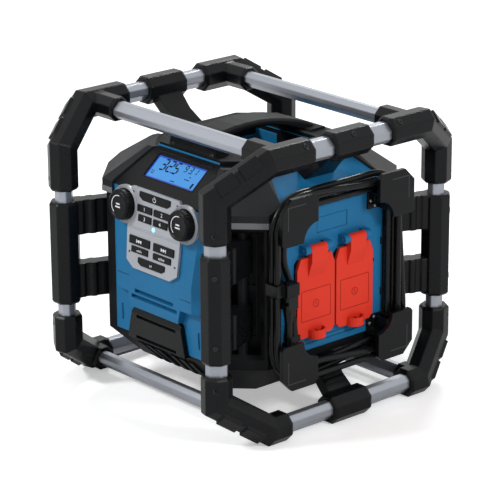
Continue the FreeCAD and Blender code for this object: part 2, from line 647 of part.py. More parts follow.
def front_panel():
    """Blue front with the proud band round the fascia, its chin and two vent slots."""
    body = skin_between(region_along_y(front_polygon(), -220, -60), 0, size("skin"))
    face, proud = size("wall_y"), size("band_proud")
    half, edge = size("band_half"), size("panel_half")
    low, high = size("band_low"), size("roof_front_z - 1")
    band = prism([Vector(-edge, -face + 0.1, low), Vector(-half, -face - proud, low), Vector(half, -face - proud, low),
                  Vector(edge, -face + 0.1, low)], UP * (high - low))
    chin, chin_top, foot = size("chin_half"), size("chin_top_half"), size("chin_low")
    block = region_along_y([(-chin, foot), (chin, foot), (chin_top, low + 1), (-chin_top, low + 1)],
                           -face - proud, -face + 0.1)
    frame = fascia_placement()
    behind = Part.makeBox(400, 400, 60, Vector(-200, -2, -size("fascia_thick")))
    behind.Placement = frame.multiply(behind.Placement)
    band = band.fuse(block).cut([behind, hull_solid(0)])
    body = body.fuse(band)
    body = body.cut(region_along_y(sub_points(size("seam")), -220, -face + 3))
    body = body.cut(fascia_cutters(size("shaft_radius + shaft_fit"), 6.0))
    for z, reach in ((low + 1.5, chin - 9), (low - 6.5, chin - 2)):
        body = body.cut(slab(-reach, reach, -face - proud - 1, -face - proud + 5, z, z + 5))
    feature("front_panel", body.cut(sub_window()).removeSplitter())


def sub_points(grow):
    """X-Z outline of the bass grille, grown by a clearance."""
    low_half, top_half = size("sub_low_half") + grow, size("sub_top_half") + grow
    low, high = size("panel_low") - 3 - grow, size("sub_high") + grow
    return [(-low_half, low), (low_half, low), (top_half, high - 3), (top_half - 4, high), (-top_half + 4, high),
            (-top_half, high - 3)]


def subwoofer_plate():
    """Black trapezoid bass grille with two sunk slots."""
    face, thick = size("wall_y"), size("sub_thick")
    body = region_along_y(sub_points(0.0), -face - thick, -face)
    body = body.cut(half_space(Vector(0, -1, 0.35).normalize(), Vector(0, -face - thick, size("sub_high") - 8)))
    for z, half in ((88.0, 40.0), (116.0, 39.0)):
        body = body.cut(slab(-half, half, -face - thick - 1, -face - thick + 5, z, z + 4))
    feature("subwoofer_plate", body.cut(hull_solid(0)).removeSplitter())


def back_panel():
    """Blue back with the battery opening, its hinge lugs and latch strip."""
    half = size("panel_half")
    points = [(-half, size("side_low")), (half, size("side_low"))] + slope_polygon()[1:]
    body = skin_between(region_along_y(points + slope_polygon()[:1], 60, 220), 0, size("skin"))
    wide, tall, z = size("bay_wide"), size("bay_tall"), size("bay_z")
    body = body.cut(slab(-wide / 2, wide / 2, 100, 220, z - tall / 2, z + tall / 2))
    face = size("wall_y + skin")
    hinge_x, hinge_y = bay_hinge()
    for low in (z - 30, z + 18):
        lug = slab(hinge_x - 4, hinge_x + 4, face - 0.5, hinge_y, low, low + 12)
        nose = flat_post(4, 12, Vector(hinge_x, hinge_y, low), UP)
        body = body.fuse([lug, nose])
    body = body.cut(Part.makeCylinder(size("pin_radius"), 70, Vector(hinge_x, hinge_y, z - 30)))
    feature("back_panel", body.removeSplitter())


def bay_hinge():
    """Hinge axis of the battery door, in plan."""
    return -size("bay_wide / 2 + bay_door_edge + 5"), size("wall_y + skin + bay_hinge_out")


def battery_door():
    """Battery door on a side hinge, with a finger lip."""
    wide, tall, z, edge = size("bay_wide"), size("bay_tall"), size("bay_z"), size("bay_door_edge")
    hinge_x, hinge_y = bay_hinge()
    face = size("wall_y + skin") + 0.4
    thick = size("bay_door_thick")
    body = slab(-wide / 2 - edge, wide / 2 + edge, face, face + thick, z - tall / 2 - edge, z + tall / 2 + edge)
    body = body.fuse(slab(wide / 2 + edge - 6, wide / 2 + edge + 6, face + 0.6, face + thick + 3, z - 14, z + 14))
    for low, high in ((z - 17.6, z + 17.6),):
        arm = slab(hinge_x, -wide / 2 - edge + 2, face + 0.2, face + thick, low, high)
        nose = Part.makeCylinder(4, high - low, Vector(hinge_x, hinge_y, low))
        body = body.fuse([arm, nose])
        body = body.cut(Part.makeCylinder(size("pin_radius + pin_fit"), high - low, Vector(hinge_x, hinge_y, low)))
    for step in range(4):
        low = z - 34 + step * 20
        body = body.fuse(slab(-wide / 2 + 14, wide / 2 - 14, face + thick - 0.1, face + thick + 1.2, low, low + 6))
    feature("battery_door", body.removeSplitter())


def corner_caps():
    """Four proud corner caps round the roof's shoulders, a seam away from the panels."""
    solids = []
    half, top, trim = size("panel_half + seam"), size("panel_top_half + seam"), size("trim_y")
    side = region_along_x(side_polygon(size("seam")), 60, 230)
    front = [(-half, size("cap_low") - 1), (half, size("cap_low") - 1)] + slope_polygon(size("seam"))[1:]
    slope = region_along_y(front + slope_polygon(size("seam"))[:1], -230, -60)
    panels = [side, mirrored(side, ALONG_X), slope, mirrored(slope, ALONG_Y)]
    for sx, sy in CORNERS.values():
        points = [(half, 230), (half, size("wall_y") + 1), (top, trim), (size("top_half_x"), top),
                  (size("wall_x") + 1, half), (230, half), (230, 230)]
        region = prism([Vector(sx * x, sy * y, size("cap_low")) for x, y in points], UP * 120)
        cap = skin_between(region, 0, size("cap_proud")).cut(panels)
        solids.append(cap.common(slab(-300, 300, -300, 300, size("cap_low"), size("plateau_z"))))
    feature("corner_caps", Part.makeCompound(solids))


def display_bezel():
    """Sloped black display surround with a stepped window."""
    body = skin_between(region_along_y(slope_polygon(), -220, -60), 0, size("bezel_thick"))
    frame = display_placement()
    window = Part.makeBox(size("screen_wide"), size("screen_tall"), 20,
                          Vector(-size("screen_wide / 2"), -size("screen_tall / 2"), 0))
    window.Placement = frame.multiply(window.Placement)
    feature("display_bezel", body.cut(window).cut(fascia_shadow()).removeSplitter())


def fascia_shadow():
    """Space of the fascia and what moves in front of it."""
    block = Part.makeBox(240, size("fascia_tall") + 0.4, 80, Vector(-120, -2, -size("fascia_thick") - 0.1))
    block.Placement = fascia_placement().multiply(block.Placement)
    return block


def display_placement():
    """Frame in the display slope: X across, Y up the slope, Z outward."""
    angle = size("roof_front_angle")
    along = math.radians(angle)
    rise = size("screen_rise")
    base = Vector(0, -size("wall_y") + rise * math.cos(along), size("roof_front_z") + rise * math.sin(along))
    outward = Vector(0, -math.sin(along), math.cos(along))
    return Placement(base + outward * 0.02, Rotation(ALONG_X, angle))


def display_screen():
    """Backlit display window seated in the bezel."""
    body = doc.addObject("Part::Box", "display_screen")
    body.setExpression("Length", bound("screen_wide - 0.2"))
    body.setExpression("Width", bound("screen_tall - 0.2"))
    body.setExpression("Height", bound("screen_thick"))
    frame = display_placement()
    corner = Placement(Vector(-size("screen_wide - 0.2") / 2, -size("screen_tall - 0.2") / 2, 0), Rotation())
    body.Placement = frame.multiply(corner)
    keep(body, "display_screen")


def key_table():
    """Fascia keys: centre across and up, half width and half height."""
    return {
        "key_power": (0, 97, 30, 5.2, 7), "key_one": (-18.5, 80.5, 14, 4.2, 0), "key_two": (15.5, 80.5, 16, 4.2, 0),
        "key_three": (-17.5, 68, 12.5, 4.2, 0), "key_four": (13, 68, 13.5, 4.2, 0),
        "key_previous": (-25, 37, 20, 5, 0), "key_next": (22.5, 37, 20, 5, 0),
        "key_mute": (-24, 25, 16, 3.8, 0), "key_tone": (20, 25, 17, 3.8, 0), "key_pair": (0, 11.5, 26, 4.8, 6),
    }


def key_corner_points(centre_x, centre_y, half_x, half_y, cut):
    """Outline of a key, its lower corners cut when a cut is given."""
    low = half_x - cut
    points = [(centre_x - low, centre_y - half_y), (centre_x + low, centre_y - half_y)]
    if cut:
        points += [(centre_x + half_x, centre_y - half_y + cut * 0.6)]
    points += [(centre_x + half_x, centre_y + half_y), (centre_x - half_x, centre_y + half_y)]
    if cut:
        points += [(centre_x - half_x, centre_y - half_y + cut * 0.6)]
    return points


def fascia_outline():
    """Silver plate: shoulders, waist and pointed foot, without the round lobes."""
    return [(-36, 0), (36, 0), (50, 9), (52, 52), (50, 60), (56, 70), (52, 98), (46, 106), (-46, 106), (-52, 98),
            (-56, 70), (-50, 60), (-52, 52), (-50, 9)]


def control_fascia():
    """Silver control plate with two round lobes, key openings and screw holes."""
    thick = size("fascia_thick")
    outline = [Vector(x, y, -thick) for x, y in fascia_outline()]
    body = prism(outline, UP * thick)
    rise, place_x = size("knob_rise"), size("knob_place")
    for side in (-1, 1):
        spot = Vector(side * place_x, rise, -thick)
        body = body.fuse(flat_post(size("lobe_radius"), thick, spot, UP, KNOB_SIDES))
        body = body.cut(flat_post(size("knob_radius + knob_gap"), thick, spot + UP * 2, UP, KNOB_SIDES))
    for name, (x, y, half_x, half_y, cut) in key_table().items():
        gap = size("key_gap")
        hole = key_corner_points(x, y, half_x + gap, half_y + gap, cut)
        body = body.cut(prism([Vector(a, b, -thick - 1) for a, b in hole], UP * (thick + 2)))
    for x, y in fascia_screws():
        body = body.cut(flat_post(1.6, thick, Vector(x, y, -thick), UP, 8))
    shafts = fascia_cutters(size("shaft_radius + shaft_fit"), 6.0)
    body.Placement = fascia_placement()
    feature("control_fascia", body.cut(shafts).removeSplitter(), Placement())


def fascia_screws():
    """Places of the four fascia screws in the fascia frame."""
    return ((-43, 99), (43, 99), (-45, 20), (45, 20))


def keys():
    """Ten keys that slide in the fascia, each its own sub-part."""
    frame = fascia_placement()
    top = size("key_proud")
    for name, (x, y, half_x, half_y, cut) in key_table().items():
        loop = [(str(a), str(b)) for a, b in key_corner_points(x, y, half_x, half_y, cut)]
        body = padded(name, [loop], "key_thick")
        body.Placement = frame.multiply(Placement(Vector(0, 0, top - size("key_thick")), Rotation()))
        keep(body, name)


def knobs():
    """Two dials with flats round the grip and a round shaft each."""
    frame = fascia_placement()
    radius, thick = size("knob_radius"), size("knob_thick")
    for name, side in (("knob_left", -1), ("knob_right", 1)):
        base = Vector(side * size("knob_place"), size("knob_rise"), size("-fascia_thick + 2 + knob_gap"))
        profile = ((0, radius), (thick - 4, radius), (thick, radius - 3.5), (thick, radius - 5), (thick - 1, radius - 6))
        body = skin_solid([polygon(base + UP * z, ALONG_X, ALONG_Y, wide, KNOB_SIDES) for z, wide in profile])
        body = body.fuse(Part.makeCylinder(size("shaft_radius"), 13, base - UP * 12)).removeSplitter()
        body.Placement = frame
        feature(name, body, frame)


def top_cover():
    """Black plateau cover with the hand well and the handle's front riser."""
    z, thick = size("plateau_z"), size("cover_thick")
    x, y, trim, top = size("top_half_x"), size("top_half_y"), size("trim_y"), size("panel_top_half")
    ring = [(-top, -trim), (top, -trim), (x, -y), (x, y), (top, trim), (-top, trim), (-x, y), (-x, -y)]
    over = size("bezel_thick")
    ring = [(a * 0.98, b * 0.98) for a, b in ring]
    body = prism([Vector(a, b, z) for a, b in ring], UP * (thick + over))
    well_x, well_y, wall = size("well_half_x"), size("well_half_y"), size("well_wall")
    low = size("well_z")
    body = body.fuse(slab(-well_x - wall, well_x + wall, -well_y - wall, well_y + wall, low - wall, z + thick))
    body = body.cut(slab(-well_x, well_x, -well_y, well_y, low, z + 40))
    half, deep = size("riser_half"), size("riser_deep")
    riser = region_along_x([(-trim + 3, z + 1), (-trim + deep + 8, z + 1), (-trim + deep, size("riser_z")),
                            (-trim + 7, size("riser_z"))], -half, half)
    foot_y = size("handle_back_y")
    heel = region_along_x([(foot_y - 28, z + 1), (foot_y + 2, z + 1), (foot_y, z + thick + over + 2),
                           (foot_y - 26, z + thick + over + 2)], -size("riser_half") + 8, size("riser_half") - 8)
    body = body.fuse([riser, heel]).cut(handle_solid())
    feature("top_cover", body.cut(hull_skins()).removeSplitter())


def hull_skins():
    """Space already taken by the sloped skins just under the plateau's edge."""
    return Part.makeCompound([item.Shape for item in NODES if item.Label in
                              ("right_panel", "left_panel", "back_panel", "display_bezel", "corner_caps", "housing")])


def handle_solid():
    """Arched grip running from front to back over the well, its long edges chamfered."""
    top, thick, half = size("handle_top_z"), size("handle_thick"), size("handle_half")
    front, back = -size("handle_front_y"), size("handle_back_y")
    front_z, back_z = size("riser_z") + 3, size("handle_back_z")
    upper = Part.Arc(Vector(0, front, front_z), Vector(0, -8, top), Vector(0, back, back_z)).toShape()
    lower = Part.Arc(Vector(0, back - 22, back_z - thick * 0.55), Vector(0, -8, top - thick),
                     Vector(0, front + 34, front_z - thick * 0.4)).toShape()
    heel_z = size("plateau_z + cover_thick") + 3.0
    over, under = upper.discretize(11), lower.discretize(9)
    outline = over + [Vector(0, back, heel_z), Vector(0, back - 24, heel_z)] + under
    outline += [Vector(0, front + 30, size("riser_z")), Vector(0, front, size("riser_z"))]
    middle = [0.5 * (over[0] + outline[-1]) + ALONG_Y * 1.5]
    middle += [spot - UP * (thick / 2) for spot in over[1:-1]]
    middle += [0.5 * (over[-1] + outline[11]) - ALONG_Y * 1.5] * 2 + [outline[12] + ALONG_Y * 1.5]
    middle += [spot + UP * (thick / 2) for spot in under]
    middle += [outline[-2] - ALONG_Y * 1.5, middle[0]]
    inner = [spot + (goal - spot) * min(1.0, 3.0 / max((goal - spot).Length, 3.1)) for spot, goal in
             zip(outline, middle)]
    rings = [[spot - ALONG_X * half for spot in inner], [spot - ALONG_X * (half - 3) for spot in outline],
             [spot + ALONG_X * (half - 3) for spot in outline], [spot + ALONG_X * half for spot in inner]]
    return skin_solid(rings)


def handle():
    """Carrying grip, bolted to the riser and the heel."""
    feature("handle", handle_solid())


def speaker_grilles():
    """Grilles with sunk slots at the back of the four corner recesses."""
    solids = []
    back = size("wall_diagonal - recess_deep")
    half = size("recess_wide / 2 - 4") - 0.2
    low, high = size("recess_low + 8") + 0.2, size("recess_high - 8") - 0.2
    sunk = back - size("grille_slot")
    for sx, sy in CORNERS.values():
        body = corner_block(sx, sy, half, back - size("grille_thick"), back, low, high)
        flat = Vector(sx, sy, 0).normalize()
        side = UP.cross(flat)
        for step in range(-2, 3):
            middle = side * step * 6.6
            ring = [flat * sunk + middle - side * 1.6, flat * (back + 2) + middle - side * 1.6,
                    flat * (back + 2) + middle + side * 1.6, flat * sunk + middle + side * 1.6]
            for start, end in ((low + 8, (low + high) / 2 - 4), ((low + high) / 2 + 4, high - 8)):
                body = body.cut(prism([spot + UP * start for spot in ring], UP * (end - start)))
        solids.append(body)
    feature("speaker_grilles", Part.makeCompound(solids))


def driver(radius, deep, centre, outward):
    """Loudspeaker in one skin: hollow cone, rim, cone's back and magnet, facing outward."""
    across = outward.cross(UP)
    rings = [(radius * 0.5 - 2, deep * 0.6 - 2), (radius - 2, 0), (radius, 0), (radius * 0.5, deep * 0.6),
             (radius * 0.55, deep * 0.6), (radius * 0.55, deep)]
    return skin_solid([polygon(centre - outward * inward, across, UP, wide, 16) for wide, inward in rings])


def speaker_drivers():
    """Four corner drivers and the bass driver behind the front."""
    solids = []
    for sx, sy in CORNERS.values():
        flat = Vector(sx, sy, 0).normalize()
        centre = flat * size("wall_diagonal - recess_deep - grille_thick - 0.3") + UP * size("(recess_low + recess_high) / 2")
        solids.append(driver(28.0, 34.0, centre, flat))
    bass = Vector(0, -size("wall_y - shell") + 0.3, 122)
    solids.append(driver(38.0, 48.0, bass, -ALONG_Y))
    feature("speaker_drivers", Part.makeCompound(solids))


def outlet_sockets():
    """Two outlet blocks seated in the panel windows, each with blade slots and an earth hole."""
    solids = []
    face = size("wall_x + skin")
    half, tall, deep = size("socket_wide / 2"), size("socket_tall / 2"), size("socket_deep_in")
    for sy in (-1, 1):
        y, z = sy * size("door_place"), size("socket_z")
        body = slab(face - deep, face, y - half, y + half, z - tall, z + tall)
        for side, wide in ((-1, 8.0), (1, 6.6)):
            body = body.cut(slab(face - 12, face + 1, y + side * 6.4 - 1, y + side * 6.4 + 1, z + 2, z + 2 + wide))
        body = body.cut(flat_post(2.5, 13, Vector(face - 12, y, z - 7), ALONG_X))
        solids.append(body)
    feature("outlet_sockets", Part.makeCompound(solids))


def outlet_doors():
    """Two red lift-up doors with straps, clipped corners and cupped pull tabs."""
    wide, tall, thick = size("door_wide / 2"), size("door_tall"), size("door_thick")
    x, top = size("door_x"), size("door_top")
    hinge_x, hinge_z, radius = size("hinge_x"), size("hinge_z"), size("knuckle_radius")
    for name, sy in (("outlet_door_left", -1), ("outlet_door_right", 1)):
        y = sy * size("door_place")
        plate = region_along_x([(y - wide, top - tall + 6), (y - wide + 6, top - tall), (y + wide - 6, top - tall),
                                (y + wide, top - tall + 6), (y + wide, top - 14), (y + wide - 6, top),
                                (y - wide + 6, top), (y - wide, top - 14)], x, x + thick)
        strap_half = size("knuckle_half")
        strap = prism([Vector(x, y - strap_half, top - 20), Vector(x + thick, y - strap_half, top - 26),
                       Vector(hinge_x + radius, y - strap_half, top - 4), Vector(hinge_x + radius, y - strap_half, hinge_z),
                       Vector(hinge_x - 3, y - strap_half, hinge_z), Vector(x + 1, y - strap_half, top - 2)],
                      ALONG_Y * 2 * strap_half)
        knuckle = Part.makeCylinder(radius, 2 * strap_half, Vector(hinge_x, y - strap_half, hinge_z), ALONG_Y)
        foot = Vector(x + thick - 1, y, top - tall - 1.5)
        cup = flat_post(size("cup_radius"), size("cup_tall"), foot, UP, 20)
        cup = cup.cut(flat_post(size("cup_radius - cup_wall"), size("cup_tall"), foot, UP, 20))
        fin = slab(foot.x, foot.x + size("cup_radius"), y - 1, y + 1, foot.z + 1, foot.z + size("cup_tall") - 1)
        cup = cup.fuse(fin).common(slab(foot.x, foot.x + 40, y - 20, y + 20, foot.z, top))
        bore = Part.makeCylinder(size("pin_radius + pin_fit"), 2 * strap_half, Vector(hinge_x, y - strap_half, hinge_z),
                                 ALONG_Y)
        body = plate.fuse([strap, knuckle, cup]).cut(bore)
        feature(name, body.removeSplitter())


def hinge_pins():
    """Steel pins of the two outlet doors and the battery door."""
    solids = []
    for sy in (-1, 1):
        reach = size("knuckle_half + lug_gap + lug_thick")
        solids.append(Part.makeCylinder(size("pin_radius"), 2 * reach,
                                        Vector(size("hinge_x"), sy * size("door_place") - reach, size("hinge_z")), ALONG_Y))
    hinge_x, hinge_y = bay_hinge()
    solids.append(Part.makeCylinder(size("pin_radius"), 60, Vector(hinge_x, hinge_y, size("bay_z") - 30)))
    feature("hinge_pins", Part.makeCompound(solids))


def cord_hooks():
    """Four cord hooks: screwed flange, quarter drum and chamfered outer plate."""
    solids = []
    face = size("wall_x + skin")
    inner, outer, cut = size("hook_inner"), size("hook_outer"), size("hook_cut")
    plate_x, plate = size("hook_plate_x"), size("hook_plate")
    drum = size("wind_radius - cord_diameter / 2 - 0.5")
    shift = size("wind_z - wind_y")
    for sy, sz in ((1, 1), (1, -1), (-1, 1), (-1, -1)):
        mid = Vector(0, sy * size("wind_y"), size("wind_mid_z") + sz * size("wind_z"))
        points = [(inner + 6, inner + shift), (inner + cut + 6, inner + shift), (outer - 3, inner + shift),
                  (outer, inner + shift + 4), (outer, outer + shift - 16), (outer - 16, outer + shift),
                  (inner + 6, outer + shift), (inner, outer + shift - 6), (inner, inner + shift + 6)]
        outline = [(sy * a, size("wind_mid_z") + sz * b) for a, b in points]
        body = region_along_x(outline, plate_x, plate_x + plate)
        bite = Part.makeCylinder(cut, plate + 2, Vector(plate_x - 1, sy * inner, size("wind_mid_z") + sz * (inner + shift)),
                                 ALONG_X)
        body = body.cut(bite)
        wall = Part.makeCylinder(drum, plate_x - face, Vector(face, mid.y, mid.z), ALONG_X)
        wall = wall.cut(Part.makeCylinder(drum - size("hook_wall"), plate_x - face,
                                          Vector(face, mid.y, mid.z), ALONG_X))
        quarter = slab(face, plate_x, min(mid.y, mid.y + sy * 60), max(mid.y, mid.y + sy * 60),
                       min(mid.z, mid.z + sz * 60), max(mid.z, mid.z + sz * 60))
        wall = wall.common(quarter)
        flange = Part.makeCylinder(drum, size("hook_flange"), Vector(face, mid.y, mid.z), ALONG_X).common(quarter)
        post = slab(face, plate_x + 1, min(mid.y + sy * 12, mid.y + sy * 18), max(mid.y + sy * 12, mid.y + sy * 18),
                    min(mid.z + sz * 2, mid.z + sz * 17), max(mid.z + sz * 2, mid.z + sz * 17))
        solids.append(body.fuse([wall, flange, post]).removeSplitter())
    feature("cord_hooks", Part.makeCompound(solids))


def cord_stations():
    """Column and layer at the end of each run: left, top, right and low run, turn by turn."""
    first = [(0, 0), (0, 0), (0, 0), (0, 1)]
    second = [(0, 1), (0, 1), (0, 1), (0, 2)]
    third = [(0, 2), (0, 2), (1, 2), (1, 2)]
    fourth = [(1, 2), (1, 1), (1, 1), (1, 0)]
    return first + second + third + fourth


def run_point(column, layer, corner, along):
    """Point where a run in a column and layer meets a corner's quarter turn."""
    pitch = size("cord_diameter + cord_gap")
    bend = size("wind_radius") + pitch * layer
    x = size("cord_first_x") + pitch * column
    sy, sz = corner
    centre = Vector(x, sy * size("wind_y"), size("wind_mid_z") + sz * size("wind_z"))
    return centre, centre + (Vector(0, sy, 0) if along == "z" else Vector(0, 0, sz)) * bend, bend


def cord_route():
    """Edges of the winding: up from the strain relief, four turns round the hooks, then to the plug."""
    corners = [(-1, 1), (1, 1), (1, -1), (-1, -1)]
    edges = []
    last = Vector(size("cord_first_x"), -size("gland_y"), size("gland_z"))
    for index, (column, layer) in enumerate(cord_stations()):
        along, across = ("z", "y") if index % 2 == 0 else ("y", "z")
        centre, arrive, bend = run_point(column, layer, corners[index % 4], along)
        leave = run_point(column, layer, corners[index % 4], across)[1]
        middle = centre + (arrive + leave - centre * 2).normalize() * bend
        edges += easing(last, arrive, 0.2)
        edges.append(Part.Arc(arrive, middle, leave).toShape())
        last = leave
    tail = Vector(size("plug_x"), -size("plug_y"), size("plug_z"))
    knee = tail - UP * size("cord_diameter")
    return edges + easing(last, knee, 0) + [Part.makeLine(knee, tail)]


def easing(start, end, share):
    """Run between two turns: straight, or two matched arcs with a share of it straight at both ends."""
    travel = end - start
    along = ALONG_Y if abs(travel.y) > abs(travel.z) else UP
    along = along * (1 if travel.dot(along) > 0 else -1)
    side = travel - along * travel.dot(along)
    if side.Length < 1e-6:
        return [Part.makeLine(start, end)]
    lead, offset = travel.dot(along) * share, side.Length
    near, far = start + along * lead, end - along * lead
    run = travel.dot(along) - 2 * lead
    radius = (run * run + offset * offset) / (4 * offset)
    angle = math.asin(run / 2 / radius)
    side = side.normalize()
    middle = (near + far) * 0.5
    step = along * (radius * math.sin(angle / 2)) + side * (radius * (1 - math.cos(angle / 2)))
    arcs = [Part.Arc(near, near + step, middle).toShape(), Part.Arc(middle, far - step, far).toShape()]
    if share == 0:
        return arcs
    return [Part.makeLine(start, near)] + arcs + [Part.makeLine(far, end)]


def cord_solid():
    """The mains cord as one many-sided tube swept along its winding."""
    edges = cord_route()
    path = Part.Wire(edges)
    start = edges[0].Vertexes[0].Point
    flats = size("cord_diameter / 2") * math.cos(math.pi / CORD_SIDES)
    ring = polygon(start, ALONG_X, ALONG_Y, flats, CORD_SIDES)
    profile = Part.makePolygon(ring + ring[:1])
    shell = Part.BRepOffsetAPI.MakePipeShell(path)
    shell.add(profile)
    shell.build()
    shell.makeSolid()
    solid = Part.Solid(shell.shape()) if shell.shape().ShapeType != "Solid" else shell.shape()
    expected = Part.Face(profile).Area * path.Length
    print(f"cord length {path.Length:.0f} mm, volume ratio {abs(solid.Volume) / expected:.4f}")
    print(f"cord radii {sorted({round(e.Curve.Radius, 1) for e in edges if hasattr(e.Curve, 'Radius')})}")
    print(f"cord gap to itself {cord_gap(edges):.2f} mm")
    return solid


def cord_gap(edges):
    """Least distance between stretches of the cord that aren't neighbours, on points."""
    spots, at, run = [], [], 0.0
    for edge in edges:
        count = max(3, int(edge.Length / 4))
        for spot in edge.discretize(count)[:-1]:
            spots.append(spot)
            at.append(run)
            run += edge.Length / (count - 1)
    reach = size("cord_diameter") * 3
    best = 1e9
    for index, spot in enumerate(spots):
        for other in range(index + 1, len(spots)):
            if at[other] - at[index] > reach:
                best = min(best, spot.distanceToPoint(spots[other]))
    return best - size("cord_diameter")


def mains_cord():
    """Wound mains cord."""
    feature("mains_cord", cord_solid())


def cord_ends():
    """Points where the cord leaves its gland and meets its plug, from the route."""
    edges = cord_route()
    return edges[0].Vertexes[0].Point, edges[-1].Vertexes[1].Point


def mains_plug():
    """Moulded plug on the cord's free end: tapered boot, waisted head, two blades and an earth pin."""
    end = cord_ends()[1]
    radius, boot_long, tall = size("cord_diameter / 2"), size("boot_long"), size("plug_tall")
    boot = skin_solid([polygon(end + UP * z, ALONG_X, ALONG_Y, wide, 8) for z, wide in
                       ((0, radius + 0.8), (boot_long, radius + 3.4))])
    base = end + UP * boot_long
    head = slab(base.x - 9, base.x + 9, base.y - 10, base.y + 10, base.z, base.z + tall)
    head = head.makeChamfer(2.5, [edge for edge in head.Edges if abs(edge.tangentAt(0).z) > 0.9])
    for side in (-1, 1):
        bite = slab(base.x - 20, base.x + 20, base.y + side * 11.5 - 3.5, base.y + side * 11.5 + 3.5,
                    base.z + 6, base.z + 11)
        head = head.cut(bite)
    blades = [slab(base.x - 3.1, base.x + 3.1, base.y + side * 5.5 - 0.75, base.y + side * 5.5 + 0.75,
                   base.z + tall - 1, base.z + tall + 17) for side in (-1, 1)]
    feature("mains_plug", boot.fuse([head] + blades).removeSplitter())


def cord_clip():
    """Clip that ties three strands of the left bundle together and parks the plug's blades."""
    radius, pitch, x = size("cord_diameter / 2"), size("cord_diameter + cord_gap"), size("cord_first_x")
    y = -size("wind_y + wind_radius") - pitch
    low, tall = size("clip_z"), size("clip_tall")
    block = slab(x - radius - 0.9, x + pitch + radius + 2.6, y - pitch - radius - 2.6, y + radius + 1.7, low, low + tall)
    plug = Vector(size("plug_x"), -size("plug_y"), low)
    park = slab(plug.x - 8, plug.x + 9, plug.y - 10.5, plug.y + 10, low, low + tall)
    block = block.fuse(park)
    for across, out in ((0, 0), (0, pitch), (pitch, pitch)):
        block = block.cut(flat_post(radius + 0.3, tall, Vector(x + across, y - out, low), UP))
    for side in (-1, 1):
        block = block.cut(slab(plug.x - 3.4, plug.x + 3.4, plug.y + side * 5.5 - 1.05, plug.y + side * 5.5 + 1.05,
                               low, low + tall))
    feature("cord_clip", block.removeSplitter())


def gland():
    """Tapered strain relief on its foot at the outlet panel, where the cord starts."""
    entry = cord_ends()[0]
    radius, long = size("cord_diameter / 2"), size("relief_long")
    face = size("wall_x + skin")
    base = entry - UP * long
    wide = radius + 2.8
    foot = slab(face, entry.x + wide, entry.y - wide, entry.y + wide, base.z - 8, base.z)
    taper = skin_solid([polygon(base, ALONG_X, ALONG_Y, wide, 8), polygon(entry, ALONG_X, ALONG_Y, radius + 0.6, 8)])
    feature("cord_gland", foot.fuse(taper).removeSplitter())


def circuit_board():
    """Amplifier and charger board on four pillars, with its transformer and heat sink."""
    z = size("base_z") + 12
    board = slab(-80, 80, -40, 70, z, z + 2)
    core = slab(20, 70, -20, 40, z + 2, z + 42)
    sink = slab(-66, -26, -30, 30, z + 2, z + 8)
    for step in range(6):
        sink = sink.fuse(slab(-66 + step * 7.4, -63.6 + step * 7.4, -30, 30, z + 8, z + 30))
    floor = size("base_z + shell")
    pillars = [flat_post(4, z - floor, Vector(x, y, floor), UP, 6) for x in (-74, 74) for y in (-34, 64)]
    feature("circuit_board", board.fuse([core, sink] + pillars).removeSplitter())


def screw(radius, spot, outward):
    """Button-head screw sunk into its seat, with a hexagon drive."""
    head = flat_post(radius, 2.2, spot - outward * 1.6, outward, 8)
    return head.cut(flat_post(radius * 0.45, 1.5, spot - outward * 0.6, outward, 6))


def cage_screws():
    """Seat centre and outward axis of each screw on the elbows, sleeves and brackets."""
    places = []
    reach = size("sleeve_wide / 2")
    for sx, sy in CORNERS.values():
        outward = Vector(sx, sy, 0).normalize()
        base = Vector(sx * size("post_x"), sy * size("post_y"), 0) + outward * reach
        for z in ((size("elbow_post_high") + 14), size("sleeve_high") - 24, size("sleeve_low") + 24,
                  size("elbow_post_low") - 14):
            places.append((base + UP * z, outward))
        up = Vector(sx, 0, 1).normalize()
        rail = Vector(sx * size("rail_x"), sy * (size("elbow_top_end") + 14), size("rail_top_z"))
        places.append((rail + up * reach, up))
    for sx in (1, -1):
        up = Vector(sx, 0, 1).normalize()
        places.append((Vector(sx * size("rail_x"), 0, size("rail_top_z")) + up * reach, up))
    return places


def seat_screws():
    """Cut each screw's seat out of the piece that holds it, then keep the screws as one sub-part."""
    places = cage_screws()
    for item in NODES:
        if item.Label.startswith(("elbow_", "post_sleeve_", "rail_brackets")):
            box = item.Shape.BoundBox
            seats = [flat_post(3.4, 2.2, spot - outward * 1.6, outward, 8) for spot, outward in places
                     if box.isInside(spot - outward)]
            if seats:
                item.Shape = item.Shape.cut(seats)
    feature("cage_screws", Part.makeCompound([screw(3.4, spot, outward) for spot, outward in places]))


def body_screws():
    """Fascia screws and the two riser screws."""
    solids = []
    frame = fascia_placement()
    for x, y in fascia_screws():
        shape = flat_post(1.6, 3.2, Vector(x, y, -3.2), UP, 8)
        shape.Placement = frame
        solids.append(shape)
    feature("body_screws", Part.makeCompound(solids))


def build():
    """Make every sub-part, check it and write its file."""
    cage_tubes()
    elbows()
    post_sleeves()
    brackets()
    housing()
    base_tray()
    for make in (front_panel, right_panel, left_panel, back_panel, corner_caps, display_bezel, display_screen,
                 control_fascia, keys, knobs, subwoofer_plate, top_cover, handle, speaker_grilles, speaker_drivers,
                 outlet_sockets, outlet_doors, hinge_pins, battery_door, cord_hooks, mains_cord, mains_plug,
                 cord_clip, gland, circuit_board, body_screws, seat_screws):
        make()
    doc.recompute()
    bad = [item.Label for item in doc.Objects if {"Invalid", "Error"} & set(item.State)]
    bad += [item.Label for item in NODES if item.Shape.isNull() or not item.Shape.isValid()]
    if bad:
        raise RuntimeError(f"failed: {bad}")
    os.makedirs("parts", exist_ok=True)
    for item in NODES:
        item.Shape.exportStep(os.path.join("parts", item.Label + ".step"))
    print(len(NODES), "sub-parts")


build()
